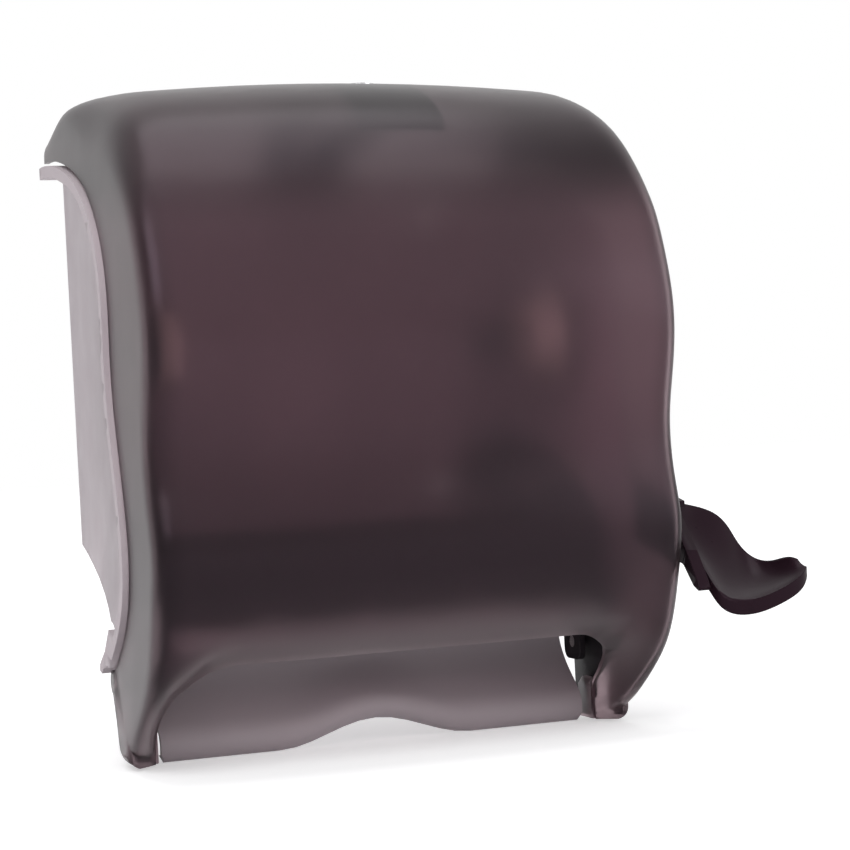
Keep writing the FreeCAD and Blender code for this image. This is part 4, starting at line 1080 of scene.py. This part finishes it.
@dataclass
class Studio:
    """Pale floor, soft lights and the camera at the photograph's angle."""

    floor_height: float = -0.1951
    floor_reach: float = 6.0
    floor_colour: Colour = (0.86, 0.86, 0.87)
    floor_glow: tuple[float, float] = (0.42, 0.75)
    glow_reach: tuple[float, float] = (0.5, 1.6)
    world_level: float = 0.45
    aim: Vector = field(default_factory=lambda: Vector((0, -0.1, -0.03)))
    lens: float = 96.22
    seat: Vector = field(default_factory=lambda: Vector((-0.35380, -1.17740, -0.03694)))
    yaw: float = 19.98
    pitch: float = 0.16
    roll: float = -3.04
    lamps: tuple[Lamp, ...] = (
        Lamp("key_lamp", Vector((-0.9, -1.5, 1.25)), 1.1, 20),
        Lamp("fill_lamp", Vector((1.5, -1.3, 0.5)), 1.2, 9),
        Lamp("top_lamp", Vector((0.1, -0.1, 1.6)), 1.2, 12),
    )

    def build(self) -> None:
        """Add the floor, the lamps, the world and the camera."""
        self.lay_floor()
        for lamp in self.lamps:
            lamp.add(self.aim)
        self.light_world()
        self.seat_camera()
        bpy.context.scene.view_settings.view_transform = "Standard"

    def seen_white(self, sheet: NodeSheet) -> bpy.types.NodeSocket:
        """Value that is 1 for camera, glossy and transmission rays.

        Args:
            sheet: Tree that it is added to.

        Returns:
            The value.
        """
        paths = sheet.add("ShaderNodeLightPath")
        value = paths.outputs["Is Camera Ray"]
        for label in ("Is Glossy Ray", "Is Transmission Ray"):
            either = sheet.add("ShaderNodeMath", operation="MAXIMUM")
            sheet.join(value, either.inputs[0])
            sheet.join(paths.outputs[label], either.inputs[1])
            value = either.outputs[0]
        return value

    def far_level(self, sheet: NodeSheet) -> bpy.types.NodeSocket:
        """Glow of the floor, which rises away from the object so that no horizon shows.

        Args:
            sheet: Tree that it is added to.

        Returns:
            The value.
        """
        coordinates = sheet.add("ShaderNodeTexCoord")
        distance = sheet.add("ShaderNodeVectorMath", operation="LENGTH")
        sheet.join(coordinates.outputs["Object"], distance.inputs[0])
        ranged = sheet.add("ShaderNodeMapRange")
        limits = (*self.glow_reach, *self.floor_glow)
        for label, value in zip(("From Min", "From Max", "To Min", "To Max"), limits):
            ranged.inputs[label].default_value = value
        sheet.join(distance.outputs["Value"], ranged.inputs["Value"])
        return ranged.outputs["Result"]

    def lay_floor(self) -> None:
        """Add the pale floor, which shows white and keeps the shadow."""
        reach, height = self.floor_reach, self.floor_height
        mesh = bpy.data.meshes.new("studio_floor")
        signs = ((-1, -1), (1, -1), (1, 1), (-1, 1))
        corners = [(reach * x, reach * y, height) for x, y in signs]
        mesh.from_pydata(corners, [], [(0, 1, 2, 3)])
        floor = bpy.data.objects.new("studio_floor", mesh)
        bpy.context.scene.collection.objects.link(floor)
        material = bpy.data.materials.new("floor_paper")
        material.use_nodes = True
        sheet = NodeSheet(material.node_tree)
        paper = sheet.add("ShaderNodeBsdfDiffuse")
        paper.inputs["Color"].default_value = (*self.floor_colour, 1)
        glow = sheet.add("ShaderNodeEmission")
        level = sheet.add("ShaderNodeMath", operation="MULTIPLY")
        sheet.join(self.seen_white(sheet), level.inputs[0])
        sheet.join(self.far_level(sheet), level.inputs[1])
        sheet.join(level.outputs[0], glow.inputs["Strength"])
        both = sheet.add("ShaderNodeAddShader")
        output = sheet.add("ShaderNodeOutputMaterial")
        sheet.join(paper.outputs["BSDF"], both.inputs[0])
        sheet.join(glow.outputs["Emission"], both.inputs[1])
        sheet.join(both.outputs["Shader"], output.inputs["Surface"])
        mesh.materials.append(material)

    def light_world(self) -> None:
        """Make the world a soft grey that shows as white."""
        world = bpy.data.worlds.new("studio")
        bpy.context.scene.world = world
        world.use_nodes = True
        sheet = NodeSheet(world.node_tree)
        soft = sheet.add("ShaderNodeBackground")
        soft.inputs["Color"].default_value = (1, 1, 1, 1)
        soft.inputs["Strength"].default_value = self.world_level
        white = sheet.add("ShaderNodeBackground")
        white.inputs["Color"].default_value = (1, 1, 1, 1)
        mix = sheet.add("ShaderNodeMixShader")
        output = sheet.add("ShaderNodeOutputWorld")
        sheet.join(self.seen_white(sheet), mix.inputs["Fac"])
        sheet.join(soft.outputs["Background"], mix.inputs[1])
        sheet.join(white.outputs["Background"], mix.inputs[2])
        sheet.join(mix.outputs["Shader"], output.inputs["Surface"])

    def seat_camera(self) -> None:
        """Put the camera where the photograph was taken from."""
        yaw, pitch, roll = (math.radians(angle) for angle in (self.yaw, self.pitch, self.roll))
        back = Vector((-math.sin(yaw) * math.cos(pitch), -math.cos(yaw) * math.cos(pitch), math.sin(pitch)))
        right = (-back).cross(Vector((0, 0, 1))).normalized()
        up = right.cross(-back)
        turned_right = right * math.cos(roll) + up * math.sin(roll)
        turned_up = up * math.cos(roll) - right * math.sin(roll)
        camera = bpy.data.cameras.new("photo_camera")
        camera.lens = self.lens
        camera.sensor_width = 36.0
        camera.clip_start = 0.05
        seat = bpy.data.objects.new("photo_camera", camera)
        turn = Matrix((turned_right, turned_up, back)).transposed()
        seat.matrix_world = Matrix.Translation(self.seat) @ turn.to_4x4()
        bpy.context.scene.collection.objects.link(seat)
        bpy.context.scene.camera = seat


def main() -> None:
    """Build every sub-assembly in order, then the studio."""
    logging.basicConfig(level=logging.INFO, format="%(name)s: %(message)s")
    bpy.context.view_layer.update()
    palette = Palette()
    for kind in (Casing, Cover, LeverDrive, FeedRoller, PressureFrame, RollHolder):
        assembly = kind(palette)
        assembly.build()
        assembly.dress()
        log.info("%s is done", kind.__name__)
    Studio().build()


if __name__ == "__main__":
    main()
